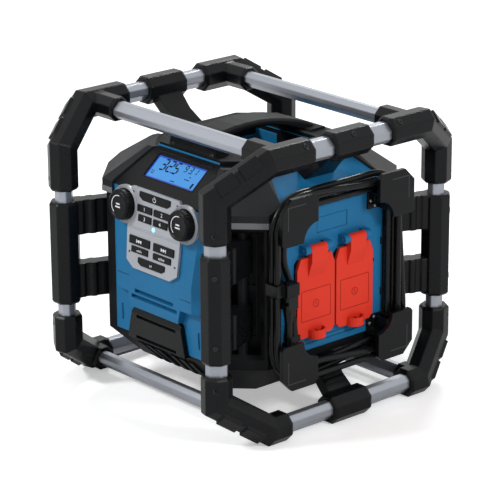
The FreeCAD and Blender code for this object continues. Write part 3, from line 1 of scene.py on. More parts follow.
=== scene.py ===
"""Looks of the jobsite radio: finishes for its moulded, drawn and printed pieces, and the small detail
that the solids leave out."""
import math

import bpy
import numpy as np
from mathutils import Matrix


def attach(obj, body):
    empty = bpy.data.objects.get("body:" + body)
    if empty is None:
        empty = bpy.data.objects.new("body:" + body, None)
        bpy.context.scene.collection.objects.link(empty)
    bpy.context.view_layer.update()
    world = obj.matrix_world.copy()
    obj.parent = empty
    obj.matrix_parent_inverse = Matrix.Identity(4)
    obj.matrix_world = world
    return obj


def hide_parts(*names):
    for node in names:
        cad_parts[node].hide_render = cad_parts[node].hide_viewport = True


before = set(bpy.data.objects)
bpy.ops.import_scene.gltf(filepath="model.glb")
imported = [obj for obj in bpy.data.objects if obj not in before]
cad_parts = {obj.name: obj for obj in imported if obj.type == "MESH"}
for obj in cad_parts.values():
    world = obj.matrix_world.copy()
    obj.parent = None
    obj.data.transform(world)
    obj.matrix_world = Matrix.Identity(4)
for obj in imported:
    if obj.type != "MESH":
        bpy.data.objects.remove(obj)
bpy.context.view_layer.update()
MM = 0.001
TAU = 2 * math.pi


# Frames of the radio's faces, in millimetres

def rows(*vectors):
    """Matrix whose columns are three axes and an origin in millimetres."""
    matrix = np.eye(4)
    matrix[:3] = np.array(vectors, float).T
    return matrix


def lean(degrees, origin):
    """Frame turned about X from the floor plane: X across, Y up the face, Z out of it."""
    turn = math.radians(degrees)
    return rows((1, 0, 0), (0, math.cos(turn), math.sin(turn)), (0, -math.sin(turn), math.cos(turn)), origin)


SLOPE = 40.3
RISE = 38.5
SCREEN = lean(SLOPE, (0, -153.5 + RISE * math.cos(math.radians(SLOPE)),
                      285 + RISE * math.sin(math.radians(SLOPE))))
FASCIA = lean(84.5, (0, -168.9, 186))
RISER = lean(76.8, (0, -100.0, 330.0))
FRONT = lean(90, (0, -165, 0))
LOWER_FRONT = lean(90, (0, -155.5, 0))
OUTLET = rows((0, 1, 0), (0, 0, 1), (1, 0, 0), (0, 0, 0))
PLAN = rows((1, 0, 0), (0, 1, 0), (0, 0, 1), (0, 0, 0))


def placed(points, matrix):
    """Points in millimetres of a frame, as metres of the shared frame."""
    points = np.asarray(points, float).reshape(-1, 3)
    return (points @ matrix[:3, :3].T + matrix[:3, 3]) * MM


# Outlines and solids: a solid is a pair of points and faces

def oblong(x0, y0, x1, y1, cut=0.0):
    """Anticlockwise rectangle with cut corners."""
    if not cut:
        return [(x0, y0), (x1, y0), (x1, y1), (x0, y1)]
    return [(x0 + cut, y0), (x1 - cut, y0), (x1, y0 + cut), (x1, y1 - cut), (x1 - cut, y1), (x0 + cut, y1),
            (x0, y1 - cut), (x0, y0 + cut)]


def circle(x, y, radius, count):
    """Anticlockwise points of a circle."""
    angle = np.arange(count) / count * TAU
    return np.column_stack([x + radius * np.cos(angle), y + radius * np.sin(angle)])


def arc_strip(x, y, inner, outer, first, last, count):
    """Outline between two arcs about a point, from one angle to another in degrees."""
    angle = np.linspace(math.radians(first), math.radians(last), count)
    ray = np.column_stack([np.cos(angle), np.sin(angle)])
    return np.concatenate([outer * ray, inner * ray[::-1]]) + (x, y)


def shrunk(outline, inset):
    """Outline moved inwards: each corner goes along the mean of its sides' normals."""
    outline = np.asarray(outline, float)
    side = np.roll(outline, -1, 0) - outline
    side /= np.linalg.norm(side, axis=1)[:, None]
    normal = np.stack([-side[:, 1], side[:, 0]], 1)
    mean = normal + np.roll(normal, 1, 0)
    return outline + mean * (inset / np.maximum((mean * np.roll(normal, 1, 0)).sum(1), 0.35))[:, None]


def lathe_faces(rings, around, closed=False):
    """Quads between rings of equal count, and two end caps unless the rings close on themselves."""
    ring = np.arange(rings if closed else rings - 1)[:, None]
    spot = np.arange(around)[None, :]
    after, onward = (spot + 1) % around, (ring + 1) % rings
    corners = [ring * around + spot, ring * around + after, onward * around + after, onward * around + spot]
    faces = np.stack(corners, -1).reshape(-1, 4).tolist()
    if not closed:
        faces += [list(range(around))[::-1], list(range((rings - 1) * around, rings * around))]
    return faces


def stacked(outline, levels, closed=False):
    """Solid whose section is an outline inset by each level's first number at the height of its second."""
    layers = [np.column_stack([shrunk(outline, inset), np.full(len(outline), height)])
              for inset, height in levels]
    return np.concatenate(layers), lathe_faces(len(levels), len(outline), closed)


def frame_band(outline, width, low, high, edge=0.3):
    """Closed band that follows an outline: a chamfered bar section carried round it."""
    levels = [(0, low), (0, high - edge), (edge, high), (width - edge, high), (width, high - edge),
              (width, low)]
    return stacked(outline, levels, closed=True)


def turned(profile, count, x=0.0, y=0.0, wave=None, closed=False):
    """Surface of revolution from radius and height pairs; a wave may change each ring's radius by angle."""
    profile = np.asarray(profile, float)
    angle = np.arange(count) / count * TAU
    radius = profile[:, 0][:, None] * np.ones(count)[None, :]
    if wave is not None:
        radius = radius + wave(profile, angle)
    height = np.repeat(profile[:, 1][:, None], count, 1)
    points = np.stack([x + radius * np.cos(angle), y + radius * np.sin(angle), height], -1)
    return points.reshape(-1, 3), lathe_faces(len(profile), count, closed)


def joined(solids):
    """Several solids as one."""
    points, faces, start = [], [], 0
    for some_points, some_faces in solids:
        points.append(np.asarray(some_points, float))
        faces += [[index + start for index in face] for face in some_faces]
        start += len(some_points)
    return np.concatenate(points), faces


def ridden(name, data, material, body):
    """Object from its data, with its material and slot, riding on a body."""
    data.materials.clear()
    data.materials.append(material)
    item = bpy.data.objects.new(name, data)
    bpy.context.collection.objects.link(item)
    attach(item, body)
    return item


def piece(name, solid, matrix, material, body="radio_body", smooth=False):
    """Mesh piece from a solid in a frame's millimetres."""
    points, faces = solid
    mesh = bpy.data.meshes.new(name)
    mesh.from_pydata(placed(points, matrix).tolist(), [], [list(map(int, face)) for face in faces])
    mesh.update()
    if smooth:
        mesh.shade_smooth()
    else:
        mesh.shade_flat()
    return ridden(name, mesh, material, body)


def lettering(name, text, height, x, y, z, matrix, material, body):
    """Generic digits as a thin mesh on a face."""
    curve = bpy.data.curves.new(name + "_curve", "FONT")
    curve.body, curve.size, curve.extrude, curve.resolution_u = text, height, 0.08, 3
    curve.align_x = curve.align_y = "CENTER"
    source = bpy.data.objects.new(name + "_curve", curve)
    mesh = bpy.data.meshes.new_from_object(source)
    bpy.data.objects.remove(source)
    points = np.empty(len(mesh.vertices) * 3)
    mesh.vertices.foreach_get("co", points)
    mesh.vertices.foreach_set("co", placed(points.reshape(-1, 3) + (x, y, z), matrix).ravel())
    mesh.update()
    return ridden(name, mesh, material, body)


# Materials

def linear(colour):
    """sRGB hex colour as linear red, green, blue and alpha."""
    parts = [int(colour[i:i + 2], 16) / 255 for i in (1, 3, 5)]
    return [part / 12.92 if part <= 0.04045 else ((part + 0.055) / 1.055) ** 2.4 for part in parts] + [1.0]


def node(tree, kind, settings=(), links=()):
    """Add a node, set its properties or inputs, and link its inputs."""
    item = tree.nodes.new(kind)
    for key, value in dict(settings).items():
        if isinstance(key, str) and hasattr(item, key):
            setattr(item, key, value)
        else:
            item.inputs[key].default_value = value
    for key, socket in dict(links).items():
        tree.links.new(socket, item.inputs[key])
    return item


def sum_up(tree, operation, links, settings=()):
    """Result of one arithmetic node."""
    return node(tree, "ShaderNodeMath", {"operation": operation, **dict(settings)}, links).outputs[0]


def new_shader(name):
    """Material, its node tree and its shader."""
    material = bpy.data.materials.new(name)
    material.use_nodes = True
    return material, material.node_tree, material.node_tree.nodes["Principled BSDF"]


def noise(tree, size, detail, where):
    """Noise whose features are about a size in millimetres."""
    return node(tree, "ShaderNodeTexNoise", {"Scale": 1 / (size * MM), "Detail": detail},
                {"Vector": where}).outputs["Fac"]


def two_tone(tree, colour, other, blend):
    """Mix of two sRGB colours."""
    return node(tree, "ShaderNodeMix", {"data_type": "RGBA", 6: linear(colour), 7: linear(other)},
                {0: blend}).outputs[2]


def finish(name, colour, other, roughness, metallic=0.0, grain=0.8, depth=0.04, stretch=(1, 1, 1),
           rough_span=0.12, edge=0.6, knurl=0.0, sheen=0.5):
    """Moulded or drawn surface: cloudy colour, uneven gloss, grain in millimetres and soft edges."""
    material, tree, shader = new_shader(name)
    where = node(tree, "ShaderNodeTexCoord").outputs["Object"]
    mapped = node(tree, "ShaderNodeMapping", {"Scale": stretch}, {"Vector": where}).outputs["Vector"]
    tone = two_tone(tree, colour, other, noise(tree, 60.0, 3.0, mapped))
    tree.links.new(tone, shader.inputs["Base Color"])
    span = {"To Min": roughness - rough_span / 2, "To Max": roughness + rough_span / 2}
    gloss = node(tree, "ShaderNodeMapRange", span, {"Value": noise(tree, 21.0, 4.0, mapped)})
    tree.links.new(gloss.outputs["Result"], shader.inputs["Roughness"])
    pits = knurling(tree, where, knurl) if knurl else noise(tree, grain, 1.0, mapped)
    soft = node(tree, "ShaderNodeBevel", {"samples": 4, "Radius": edge * MM}).outputs["Normal"]
    bump = node(tree, "ShaderNodeBump", {"Strength": 0.6, "Distance": depth * MM},
                {"Height": pits, "Normal": soft})
    tree.links.new(bump.outputs["Normal"], shader.inputs["Normal"])
    shader.inputs["Metallic"].default_value = metallic
    shader.inputs["Specular IOR Level"].default_value = sheen
    return material


def knurling(tree, where, pitch):
    """Height of small square pyramids: the product of two crossed triangle waves."""
    axes = node(tree, "ShaderNodeSeparateXYZ", links={"Vector": where}).outputs
    waves = []
    for axis in ("X", "Y"):
        count = sum_up(tree, "MULTIPLY", {0: axes[axis]}, {1: 1 / (pitch * MM)})
        waves.append(sum_up(tree, "PINGPONG", {0: count}, {1: 0.5}))
    return sum_up(tree, "MULTIPLY", {0: waves[0], 1: waves[1]})


def glowing(name, colour, other, strength):
    """Backlit film or lens: two blended tones that shine under a glossy surface."""
    material, tree, shader = new_shader(name)
    where = node(tree, "ShaderNodeTexCoord").outputs["Object"]
    uneven = node(tree, "ShaderNodeTexNoise", {"Scale": 18.0, "Detail": 1.0}, {"Vector": where})
    tone = two_tone(tree, colour, other, uneven.outputs["Fac"])
    tree.links.new(tone, shader.inputs["Base Color"])
    tree.links.new(tone, shader.inputs["Emission Color"])
    shader.inputs["Emission Strength"].default_value = strength
    shader.inputs["Roughness"].default_value = 0.25
    return material


# Glass-filled nylon of the elbows and sleeves: fine mould grain, a dull sheen on the flats, rounded edges
NYLON = finish("glass_filled_nylon", "#0d0e10", "#121315", 0.26, grain=0.9, depth=0.03, edge=3.2, sheen=0.16)
# ABS shell of the radio: duller and finer than the cage
SHELL = finish("black_abs_shell", "#101113", "#151618", 0.46, grain=0.7, edge=1.2, sheen=0.1)
# Smooth black mouldings: hooks, clip, bezel
SATIN = finish("satin_black_abs", "#0c0d0f", "#111214", 0.26, grain=0.5, depth=0.015, edge=1.8, sheen=0.16)
# Blue ABS, spark-eroded: eggshell gloss
BLUE = finish("blue_abs_panel", "#1a6592", "#1f6f9e", 0.42, edge=1.2, rough_span=0.08, sheen=0.14)
# Red polypropylene flaps, satin
RED = finish("red_polypropylene_flap", "#d8301c", "#e03c28", 0.42, grain=0.7, depth=0.02, edge=1.0,
             rough_span=0.08, sheen=0.15)
# Silver-sprayed ABS plate
SILVER = finish("silver_sprayed_abs", "#9da1a8", "#a8acb2", 0.36, metallic=0.2, grain=0.25, depth=0.01,
                edge=0.5, sheen=0.4)
# Clear-anodised drawn aluminium: faint lines along the draw, corners rolled round
TUBE, TUBE_Y, TUBE_X = [
    finish("anodised_aluminium_" + name, "#979ba3", "#a4a8b0", 0.34, metallic=0.8, grain=0.4, depth=0.006,
           edge=3.0, stretch=stretch)
    for name, stretch in (("tube", (1, 1, 0.05)), ("rail", (1, 0.05, 1)), ("crossbar", (0.05, 1, 1)))]
# Soft rubber corner pads with moulded knurling, 2.4 mm pyramids
KNURL = finish("knurled_rubber_pad", "#17181a", "#1f2023", 0.5, depth=1.6, edge=0.8, knurl=2.4, sheen=0.2)
# Overmoulded rubber of the grip
RUBBER = finish("soft_rubber_grip", "#0f1012", "#151618", 0.45, depth=0.05, edge=2.0, sheen=0.12)
# Rubber jacket of the mains cord: a long narrow shine along each strand
CORD = finish("rubber_cord_jacket", "#0c0d0e", "#111213", 0.28, grain=1.2, depth=0.02, edge=0.3, sheen=0.2)
# Bare grey edge under the corner pads
LIP = finish("grey_rubber_lip", "#66686c", "#707276", 0.5, grain=0.6, depth=0.03, edge=0.3, sheen=0.3)
# Keys and dials
KEYS = finish("matt_black_key", "#0f1012", "#141517", 0.36, grain=0.5, depth=0.02, edge=0.5, sheen=0.12)
# Screws: blackened on the cage and body, zinc plated in the hooks; the hinge pins are zinc plated too
STEEL = finish("blackened_screw_steel", "#1b1c1e", "#28292b", 0.3, metallic=0.5, grain=0.4, depth=0.02,
               edge=0.2)
ZINC = finish("zinc_plated_steel", "#8e9094", "#9ea0a4", 0.3, metallic=0.9, grain=0.4, depth=0.01, edge=0.2)
# Loudspeaker cones and the board behind the controls
PAPER = finish("speaker_paper_cone", "#101113", "#151618", 0.7, grain=1.0, depth=0.05, edge=0.5, sheen=0.2)
BOARD = finish("glass_epoxy_board", "#164a2c", "#1b5734", 0.45, grain=0.6, depth=0.02, edge=0.2)
# Print on keys and dials, and the dark segments of the display
WHITE = finish("white_pad_print", "#dfe2e4", "#e6e8ea", 0.45, grain=0.5, depth=0.004, edge=0.05)
INK = finish("display_segment_ink", "#050a12", "#08101c", 0.3, grain=0.5, depth=0.004, edge=0.05, sheen=0.1)
# Shade in the panel seams and in the slots
SEAM = finish("panel_seam_shadow", "#0d3247", "#0f3850", 0.6, grain=0.5, depth=0.01, edge=0.1, sheen=0.1)
DARK = finish("recess_shadow_black", "#060607", "#09090a", 0.6, grain=0.5, depth=0.02, edge=0.1, sheen=0.1)
# Raised lines of the doors and hooks: the darker red of the door lines is painted shade, the lighter grey of
# the hook lines is a painted highlight
# Darker red than the door itself: painted shade on the raised lines
RED_LINE_SHADE = finish("red_flap_relief_painted_shade", "#8e1c10", "#9a2113", 0.5, grain=0.7, depth=0.02, edge=0.2, sheen=0.1)
# Lighter grey than the black hook plate: a painted highlight on the raised line
HOOK_HIGHLIGHT_LINE = finish("hook_relief_painted_highlight", "#2b2c30", "#333438", 0.4, grain=0.5, depth=0.02, edge=0.2, sheen=0.2)
# Display film, its brighter edge, and the indicator lens
BACKLIGHT = glowing("blue_backlight_film", "#3585c8", "#2f7cc2", 0.4)
HALO = glowing("backlight_spill_edge", "#2450b8", "#1c44a4", 0.35)
LAMP = glowing("blue_indicator_lens", "#9fdcff", "#6fc4f4", 1.4)

NODES_BY_FINISH = {
    BLUE: ("front_panel", "right_panel", "left_panel", "back_panel"),
    SHELL: ("housing", "base_tray", "top_cover", "speaker_grilles"),
    SATIN: ("display_bezel", "subwoofer_plate", "outlet_sockets", "battery_door", "cord_hooks", "cord_clip",
            "cord_gland"),
    RED: ("outlet_door_left", "outlet_door_right"),
    STEEL: ("body_screws", "cage_screws"),
    TUBE: ("post_front_right", "post_front_left", "post_back_right", "post_back_left"),
    TUBE_Y: ("side_rails",), TUBE_X: ("cross_rails",), KNURL: ("corner_caps",), RUBBER: ("handle",),
    BACKLIGHT: ("display_screen",), SILVER: ("control_fascia",), PAPER: ("speaker_drivers",),
    ZINC: ("hinge_pins",), CORD: ("mains_plug",), BOARD: ("circuit_board",),
}
FINISHES = {name: look for look, names in NODES_BY_FINISH.items() for name in names}
for name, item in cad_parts.items():
    look = KEYS if name.startswith("key_") else FINISHES.get(name, NYLON)
    for place in item.material_slots:
        place.material = look


# Mains cord: four turns round the hooks on one smooth line

CORD_D = 8.6
PITCH = 9.5
FIRST_X = 162.6
WIND_Y, WIND_Z, MID_Z = 60.0, 72.0, 188.0
BEND = 30.0
# Each turn's place at the four hooks: column outward from the wall, layer outward from the bend
STATIONS = [[(0, 0), (0, 0), (0, 0), (0, 1)], [(0, 1), (0, 1), (0, 1), (0, 2)],
            [(0, 2), (0, 2), (1, 2), (1, 2)], [(1, 2), (1, 1), (1, 1), (1, 0)]]
# Hooks in the order of the winding, and whether the cord comes to them upright
HOOKS = [(-1, 1, True), (1, 1, False), (1, -1, True), (-1, -1, False)]
FROM_GLAND = [(FIRST_X, -75.0, 150.0), (FIRST_X, -75.0, 188.5), (FIRST_X, -90.0, 221.5)]
PLUG = (176.5, -93.5, 151.4)
BOOT_START = 14.6
LAST_BEND = 29.4


def cord_points():
    """Control points in metres: round each hook the corners of the octagon that the bend touches."""
    points = list(FROM_GLAND)
    ease = math.tan(math.pi / 8)
    octagon = [(-ease, 1.0), (ease, 1.0), (1.0, ease), (1.0, -ease)]
    for turn in STATIONS:
        for (column, layer), (sy, sz, upright) in zip(turn, HOOKS):
            bend, x = BEND + PITCH * layer, FIRST_X + PITCH * column
            for along, out in octagon:
                a, b = (out, along) if upright else (along, out)
                points.append((x, sy * (WIND_Y + bend * a), MID_Z + sz * (WIND_Z + bend * b)))
    x, y, z = PLUG
    points[-1] = (*points[-1][:2], z - LAST_BEND)
    points += [(x, y, z - BOOT_START), (x, y, z)]
    return np.array(points) * MM


def wound_cord():
    """The cord as a NURBS spline with a round section, in place of the part's own cord, which is hidden."""
    points = cord_points()
    curve = bpy.data.curves.new("mains_cord_line", "CURVE")
    curve.dimensions = "3D"
    spline = curve.splines.new("NURBS")
    spline.points.add(len(points) - 1)
    spline.points.foreach_set("co", np.column_stack([points, np.ones(len(points))]).ravel())
    spline.order_u = 3
    spline.use_endpoint_u = True
    spline.resolution_u = 8
    curve.bevel_depth = CORD_D / 2 * MM
    curve.bevel_resolution = 4
    curve.use_fill_caps = True
    item = ridden("mains_cord_jacket", curve, CORD, "radio_body")
    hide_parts("mains_cord")


wound_cord()

# Dials, on the fascia

DIAL_X, DIAL_Y = 59.0, 79.0
SIDES = (("left", -1), ("right", 1))
DIAL_PROFILE = [(19.2, -1.4), (19.9, -0.9), (19.9, 0.8), (19.9, 4.0), (19.8, 8.0), (19.5, 10.2),
                (18.6, 11.8), (17.0, 12.7), (15.6, 13.0), (15.0, 12.8), (14.6, 12.1), (13.8, 11.9),
                (6.0, 11.6), (0.4, 11.6)]


def flutes(profile, angle):
    """28 grooves of 0.55 mm in a dial's skirt: a raised cosine to the sixth power, on its outer wall."""
    skirt = (profile[:, 1] > 0.6) & (profile[:, 1] < 11.0) & (profile[:, 0] > 18.5)
    return -0.55 * (0.5 + 0.5 * np.cos(angle * 28))[None, :] ** 6 * skirt[:, None]


def dial(turn, side):
    """Knob: fluted skirt, stepped face, a printed arc and two printed bars."""
    name, body, x = f"dial_{turn}", f"knob_{turn}_body", side * DIAL_X
    knob = piece(name, turned(DIAL_PROFILE, 168, x, DIAL_Y, flutes), FASCIA, KEYS, body,
                 smooth=True)
    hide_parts(f"knob_{turn}")
    mark = stacked(arc_strip(x, DIAL_Y, 11.6, 12.6, 80, 235, 26), [(0, 11.7), (0, 12.15)])
    piece(name + "_arc_mark", mark, FASCIA, WHITE, body)
    for index, (half, y) in enumerate(((3.5, DIAL_Y + 1.2), (4.5, DIAL_Y - 2.8))):
        bar = stacked(oblong(x - half, y - 0.9, x + half, y + 0.9), [(0, 11.6), (0, 11.95)])
        piece(f"{name}_print_{index}", bar, FASCIA, WHITE, body)


for turn, side in SIDES:
    dial(turn, side)

# Signs on the keys: generic digits, arrows and bars

KEY_PRINT = [(0, 1.35), (0, 1.6)]
DIGIT_BASE = 1.45


def arrow(x, y, size, way):
    """Triangle pointing left or right."""
    back, tip, half = x - way * size / 2, x + way * size / 2, size * 0.55
    points = [(back, y - half), (tip, y), (back, y + half)]
    return stacked(points if way > 0 else points[::-1], KEY_PRINT)


def sign(name, solids):
    """Printed sign that rides on its key."""
    piece(f"sign_{name}", joined(solids), FASCIA, WHITE, f"key_{name}_body")


for name, text, x, y in (("one", "1", -18.5, 80.5), ("two", "2", 15.5, 80.5), ("three", "3", -17.5, 68),
                         ("four", "4", 13, 68)):
    lettering(f"digit_{name}", text, 7.0, x, y, DIGIT_BASE, FASCIA, WHITE, f"key_{name}_body")
for name, way, x, y in (("previous", -1, -25, 37), ("next", 1, 22.5, 37)):
    stop = x + way * 5.0
    sign(name, [arrow(x - 2.2, y, 4.4, way), arrow(x + 2.2, y, 4.4, way),
                stacked(oblong(stop - 0.6, y - 2.4, stop + 0.6, y + 2.4), KEY_PRINT)])
for name, x, y, bars in (("mute", -24, 25, (-4, -1.6, 1.6, 4)), ("tone", 20, 25, (-5, -2.5, 0, 2.5, 5)),
                         ("pair", 0, 11.5, (-1.2, 1.2))):
    strokes = [oblong(x + bar - 0.55, y - 1.8, x + bar + 0.55, y + 0.4 + 0.5 * (step % 3))
               for step, bar in enumerate(bars)]
    sign(name, [stacked(stroke, KEY_PRINT) for stroke in strokes])
sign("power", [stacked(arc_strip(0, 97, 2.5, 3.2, 125, 415, 30), KEY_PRINT),
               stacked(oblong(-0.35, 97.4, 0.35, 101.0), KEY_PRINT)])

# Ribbed silver rings round the dials, the indicator lamp and three ridges

for turn, side in SIDES:
    ribs = [(24.9, -3.6), (24.9, 0.3), (24.4, 0.7)]
    for radius in (24.2, 23.05, 21.9):
        ribs += [(radius, 0.7), (radius - 0.25, 0.25), (radius - 0.75, 0.25), (radius - 1.0, 0.7)]
    ribs += [(20.75, 0.6), (20.75, -1.9)]
    piece(f"dial_ring_{turn}", turned(ribs, 96, side * DIAL_X, DIAL_Y, closed=True), FASCIA, SILVER)
piece("indicator_lamp", turned([(3.1, 0.0), (3.1, 0.4), (2.4, 1.0), (1.2, 1.3), (0.2, 1.35)], 32, 0, 58.3),
      FASCIA, LAMP, smooth=True)
ridges = [stacked(oblong(-half, y - 0.45, half, y + 0.45), [(0, -0.2), (0, 0.25), (0.25, 0.45)])
          for y, half in ((63.8, 34.0), (53.8, 47.0), (51.6, 49.0))]
piece("fascia_ridges", joined(ridges), FASCIA, SILVER)

# Display: plain figures, the brighter edge of its light, its window's rim and a bar above it

DISPLAY_INK = [(0, 1.25), (0, 1.4)]
LIT = {"1": "bc", "2": "abged", "3": "abgcd", "5": "afgcd", "9": "abcfgd"}
BAR_ENDS = {"a": ((0, 1), (1, 1)), "b": ((1, 1), (1, 0.5)), "c": ((1, 0.5), (1, 0)), "d": ((0, 0), (1, 0)),
            "e": ((0, 0.5), (0, 0)), "f": ((0, 1), (0, 0.5)), "g": ((0, 0.5), (1, 0.5))}


def segments(digit, x, y, height):
    """Bars of a slanted seven-segment digit, each a thin six-sided lozenge."""
    wide, thick = height * 0.5, height * 0.14
    bars = []
    for letter in LIT[digit]:
        start, end = np.array(BAR_ENDS[letter]) * (wide, height)
        along = (end - start) / np.linalg.norm(end - start)
        across = np.array([-along[1], along[0]]) * thick / 2
        start, end = start + along * thick * 0.25, end - along * thick * 0.25
        near, far = start + along * thick / 2, end - along * thick / 2
        loop = np.array([start, near - across, far - across, end, far + across, near + across])
        loop[:, 0] += loop[:, 1] * 0.12 + x
        loop[:, 1] += y
        bars.append(stacked(loop, DISPLAY_INK))
    return bars


figures = []
for index, digit in enumerate("325"):
    figures += segments(digit, -33 + index * 12.0, -1.5, 16)
for index, digit in enumerate("931"):
    figures += segments(digit, 9 + index * 9.4, 5.5, 9.0)
for x, y, wide, tall in ((-11.2, -2.2, 1.6, 1.6), (23.6, 4.6, 1.2, 1.2), (37.5, -14, 3.2, 7.5),
                         (-42, -10, 5, 0.9), (-42, -8, 1, 3), (-38.5, -8, 1, 3), (-1, -13, 8, 1.1),
                         (20, -5, 9, 1.2), (26, -0.5, 2.4, 1.4)):
    figures.append(stacked(oblong(x, y, x + wide, y + tall), DISPLAY_INK))
piece("display_digits", joined(figures), SCREEN, INK)
piece("display_halo", frame_band(oblong(-47.4, -17.4, 47.4, 17.4), 2.4, 1.2, 1.32, 0.02), SCREEN, HALO)
piece("display_window_rim", frame_band(oblong(-49.5, -19.2, 49.5, 19.2), 1.9, 2.6, 3.3, 0.4), SCREEN, SATIN)
top_bar = stacked(oblong(-52, 20.6, 54, 23.0), [(0, 2.6), (0, 3.3), (0.4, 3.6)])
piece("display_top_bar", top_bar, SCREEN, SATIN)

# Top: trim line over the display, blue lining in the hand well's far corner, screws and slot of the riser

trim = stacked(oblong(-60, -103.9, 60, -102.6), [(0, 330.5), (0, 332.6), (0.3, 333.0)])
piece("blue_trim_line", trim, PLAN, BLUE)
lining = [stacked(oblong(-57.9, 60.6, -16, 61.9), [(0, 306.2), (0, 321), (0.5, 323)]),
          stacked(oblong(-57.9, 34, -56.6, 60.4), [(0, 306.2), (0, 313), (0.5, 315)])]
piece("well_blue_lining", joined(lining), PLAN, BLUE)
SCREW_PROFILE = [(3.7, -0.4), (3.7, 0.35), (3.2, 0.55), (2.6, 0.35), (2.6, 0.1), (1.4, 0.1), (1.2, -0.2),
                 (0.1, -0.2)]
for turn, side in SIDES:
    piece(f"riser_screw_{turn}", turned(SCREW_PROFILE, 24, side * 38.0, 5.5), RISER, STEEL)
piece("riser_slot", stacked(oblong(24, 12.6, 43, 15.0, 1.0), [(0, -0.3), (0, 0.12)]), RISER, DARK)

# Grey edge under each corner cap: a strip carried round the cap's three outer faces


def cap_edge(reach):
    """Corner path at a distance outside the cap: two wall lines meeting the diagonal one."""
    side, front, slant = 157.5 + reach, 158.5 + reach, (188.85 + reach) * math.sqrt(2)
    return [(88.4, -front), (slant - front, -front), (side, side - slant), (side, -88.4)]


strip = np.array(cap_edge(0.5) + cap_edge(-0.4)[::-1])
for turn, sx, sy in (("front_right", 1, 1), ("front_left", -1, 1), ("back_right", 1, -1),
                     ("back_left", -1, -1)):
    loop = strip * (sx, sy)
    edge = stacked(loop if sx * sy > 0 else loop[::-1], [(0, 271.0), (0, 278.2), (0.2, 278.6)])
    piece(f"cap_edge_{turn}", edge, PLAN, LIP)

# Blue front: seam lines beside the fascia's foot and two small wedges low on the corners

seams = [stacked(oblong(x0, z - 0.4, x1, z + 0.4), [(0, -0.2), (0, 0.15)])
         for x0, x1, z in ((-73, -50, 172), (52, 73, 166))]
piece("front_seams", joined(seams), FRONT, SEAM)
for turn, side in SIDES:
    x, z = side * 76.0, 114.0
    wedge = [(x - 2.6, z - 11), (x + 2.6, z - 11), (x + 1.4, z + 11), (x - 1.4, z + 11)]
    piece(f"front_wedge_{turn}", stacked(wedge, [(0, -0.2), (0.9, 1.9)]), LOWER_FRONT, BLUE)

# Outlet side: seam lines over and under the doors, dark slots at its back edge, and a black frame behind each
# door that is painted shade in the gap round it

WALL = 154.5
DOOR_Y = 33.4
WALL_LINE = [(0, WALL - 0.3), (0, WALL + 0.15)]
seams = [stacked(oblong(-half, z - 0.45, half, z + 0.45), WALL_LINE)
         for half, z in ((84, 291), (66, 109), (62, 103.5))]
piece("outlet_seams", joined(seams), OUTLET, SEAM)
slots = [stacked(oblong(84.5, z - 5, 87, z + 5), WALL_LINE) for z in (212, 144)]
piece("outlet_edge_slots", joined(slots), OUTLET, DARK)
for turn, side in SIDES:
    y = side * DOOR_Y
    # Black frame in the recess shadow material: painted shade in the gap round the door
    gap_shade = frame_band(oblong(y - 31.6, 117, y + 31.6, 219.5, 5), 9.0, WALL + 0.05, WALL + 2.3)
    piece(f"door_gap_shade_{turn}", gap_shade, OUTLET, DARK)

# Doors: frame lines, circle and a plain number, as shallow raised lines in a darker red that is painted shade

DOOR_FACE = 161.2
MARK_Z = 158
for number, (turn, side) in enumerate(SIDES, start=1):
    y, body = side * DOOR_Y, f"outlet_door_{turn}_body"
    lines = [frame_band(outline, 0.7, DOOR_FACE - 0.2, DOOR_FACE + 0.35, 0.15)
             for outline in (oblong(y - 25, 137, y + 25, 178), circle(y, MARK_Z, 5.2, 40))]
    piece(f"door_lines_{turn}", joined(lines), OUTLET, RED_LINE_SHADE, body)
    lettering(f"door_number_{turn}", str(number), 7.0, y, MARK_Z, DOOR_FACE + 0.25, OUTLET, RED_LINE_SHADE,
              body)

# Hooks: a raised angle line on each outer plate, lighter grey as a painted highlight, and two screws through
# each flange

HEAD_PROFILE = [(2.3, 156.7), (2.3, 158.2), (1.7, 158.9), (0.1, 159.0)]
LINE_ARM, LINE_WIDE = 30.0, 1.3
angle_line = np.array([(0, 0), (-LINE_ARM, 0), (-LINE_ARM, -LINE_WIDE), (-LINE_WIDE, -LINE_WIDE),
                       (-LINE_WIDE, -LINE_ARM), (0, -LINE_ARM)])
for sy, sz, which in ((1, 1, "right_top"), (1, -1, "right_low"), (-1, 1, "left_top"), (-1, -1, "left_low")):
    loop = (angle_line + (104.0, 116.0)) * (sy, sz) + (0, MID_Z)
    line = stacked(loop if sy * sz < 0 else loop[::-1], [(0, 186.0), (0.2, 186.6)])
    piece(f"hook_highlight_line_{which}", line, OUTLET, HOOK_HIGHLIGHT_LINE)
    heads = [turned(HEAD_PROFILE, 16, sy * y, MID_Z + sz * z) for y, z in ((64.0, 83.0), (71.5, 75.5))]
    piece(f"hook_screws_{which}", joined(heads), OUTLET, ZINC, smooth=True)

# Label field on the outlet side: the thin line round it

piece("bare_label_line", frame_band(oblong(-26, 247, 26, 267, 2), 0.5, WALL - 0.8, WALL + 0.3, 0.1), OUTLET,
      BLUE)

# Room and camera

LAMPS = (("key_lamp", 52, (-1.0, -2.2, 2.2)), ("side_lamp", 34, (2.6, 0.2, 1.7)),
         ("rear_lamp", 30, (-1.2, 1.9, 2.2)))
LAMP_WIDE = 0.5
LAMP_TARGET = np.array((0, 0, 0.2))
# The photograph's camera: direction and roll in degrees, distance and target in metres, focus in pixels
PHOTO_AZIMUTH, PHOTO_HEIGHT, PHOTO_ROLL = 48.63, 18.74, -0.349
PHOTO_DISTANCE = 3.3071
PHOTO_TARGET = np.array((0.001, -0.0025, 0.181))
PHOTO_FOCAL, PHOTO_PIXELS = 2531.2, 500
SENSOR = 36.0


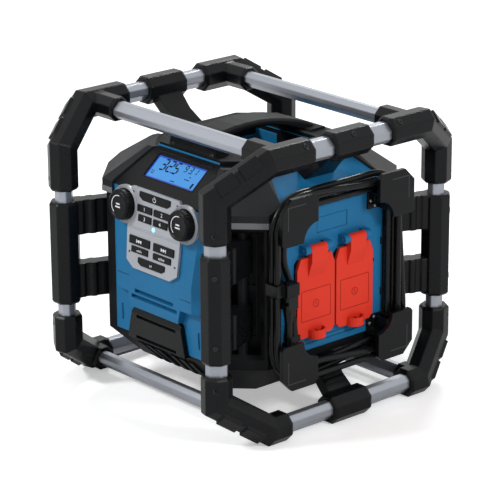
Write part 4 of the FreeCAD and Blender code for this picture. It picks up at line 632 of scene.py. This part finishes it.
def pale_floor():
    """White floor, lifted to page white for the camera alone, that keeps a soft shadow."""
    material, tree, shader = new_shader("pale_studio_floor")
    shader.inputs["Base Color"].default_value = (0.95, 0.95, 0.95, 1)
    shader.inputs["Roughness"].default_value = 0.9
    shader.inputs["Emission Color"].default_value = (1, 1, 1, 1)
    rays = node(tree, "ShaderNodeLightPath").outputs
    lift = sum_up(tree, "MULTIPLY", {0: rays["Is Camera Ray"]}, {1: 0.4})
    tree.links.new(lift, shader.inputs["Emission Strength"])
    mesh = bpy.data.meshes.new("studio_floor")
    mesh.from_pydata([(-9, -9, 0), (9, -9, 0), (9, 9, 0), (-9, 9, 0)], [], [(0, 1, 2, 3)])
    mesh.materials.append(material)
    floor = bpy.data.objects.new("studio_floor", mesh)
    bpy.context.collection.objects.link(floor)


def white_world():
    """White page for the camera, mirrors and glass, and a dimmer sky that lights the object."""
    world = bpy.data.worlds.new("studio_world")
    world.use_nodes = True
    tree = world.node_tree
    tree.nodes.clear()
    rays = node(tree, "ShaderNodeLightPath").outputs
    seen = sum_up(tree, "MAXIMUM", {0: rays["Is Camera Ray"], 1: rays["Is Glossy Ray"]})
    seen = sum_up(tree, "MAXIMUM", {0: seen, 1: rays["Is Transmission Ray"]})
    strength = node(tree, "ShaderNodeMapRange", {"To Min": 0.35, "To Max": 1.0}, {"Value": seen})
    sky = node(tree, "ShaderNodeBackground", {"Color": (1, 1, 1, 1)},
               {"Strength": strength.outputs["Result"]})
    node(tree, "ShaderNodeOutputWorld", links={"Surface": sky.outputs[0]})
    return world


def aimed(name, data, at, back, roll=0.0):
    """Object looking against its back vector, rolled about it."""
    side = np.cross((0, 0, 1), back)
    side /= np.linalg.norm(side)
    up = np.cross(back, side)
    across = math.cos(roll) * side + math.sin(roll) * up
    upward = -math.sin(roll) * side + math.cos(roll) * up
    item = bpy.data.objects.new(name, data)
    bpy.context.collection.objects.link(item)
    item.matrix_world = Matrix([[across[i], upward[i], back[i], at[i]] for i in range(3)] + [[0, 0, 0, 1]])
    return item


def area_lamp(name, energy, at):
    """Soft square lamp aimed at the object."""
    data = bpy.data.lights.new(name, "AREA")
    data.energy, data.size = energy, LAMP_WIDE
    back = np.array(at) - LAMP_TARGET
    aimed(name, data, at, back / np.linalg.norm(back))


def photo_camera():
    """Camera at the photograph's place."""
    lens = bpy.data.cameras.new("photo_camera")
    lens.lens, lens.sensor_width, lens.clip_end = PHOTO_FOCAL * SENSOR / PHOTO_PIXELS, SENSOR, 60.0
    azimuth, height = math.radians(PHOTO_AZIMUTH), math.radians(PHOTO_HEIGHT)
    back = np.array([math.sin(azimuth) * math.cos(height), -math.cos(azimuth) * math.cos(height),
                     math.sin(height)])
    return aimed("photo_camera", lens, PHOTO_TARGET + PHOTO_DISTANCE * back, back, math.radians(PHOTO_ROLL))


scene = bpy.context.scene
scene.world = white_world()
pale_floor()
for name, energy, at in LAMPS:
    area_lamp(name, energy, at)
scene.camera = photo_camera()
scene.view_settings.view_transform = "Standard"
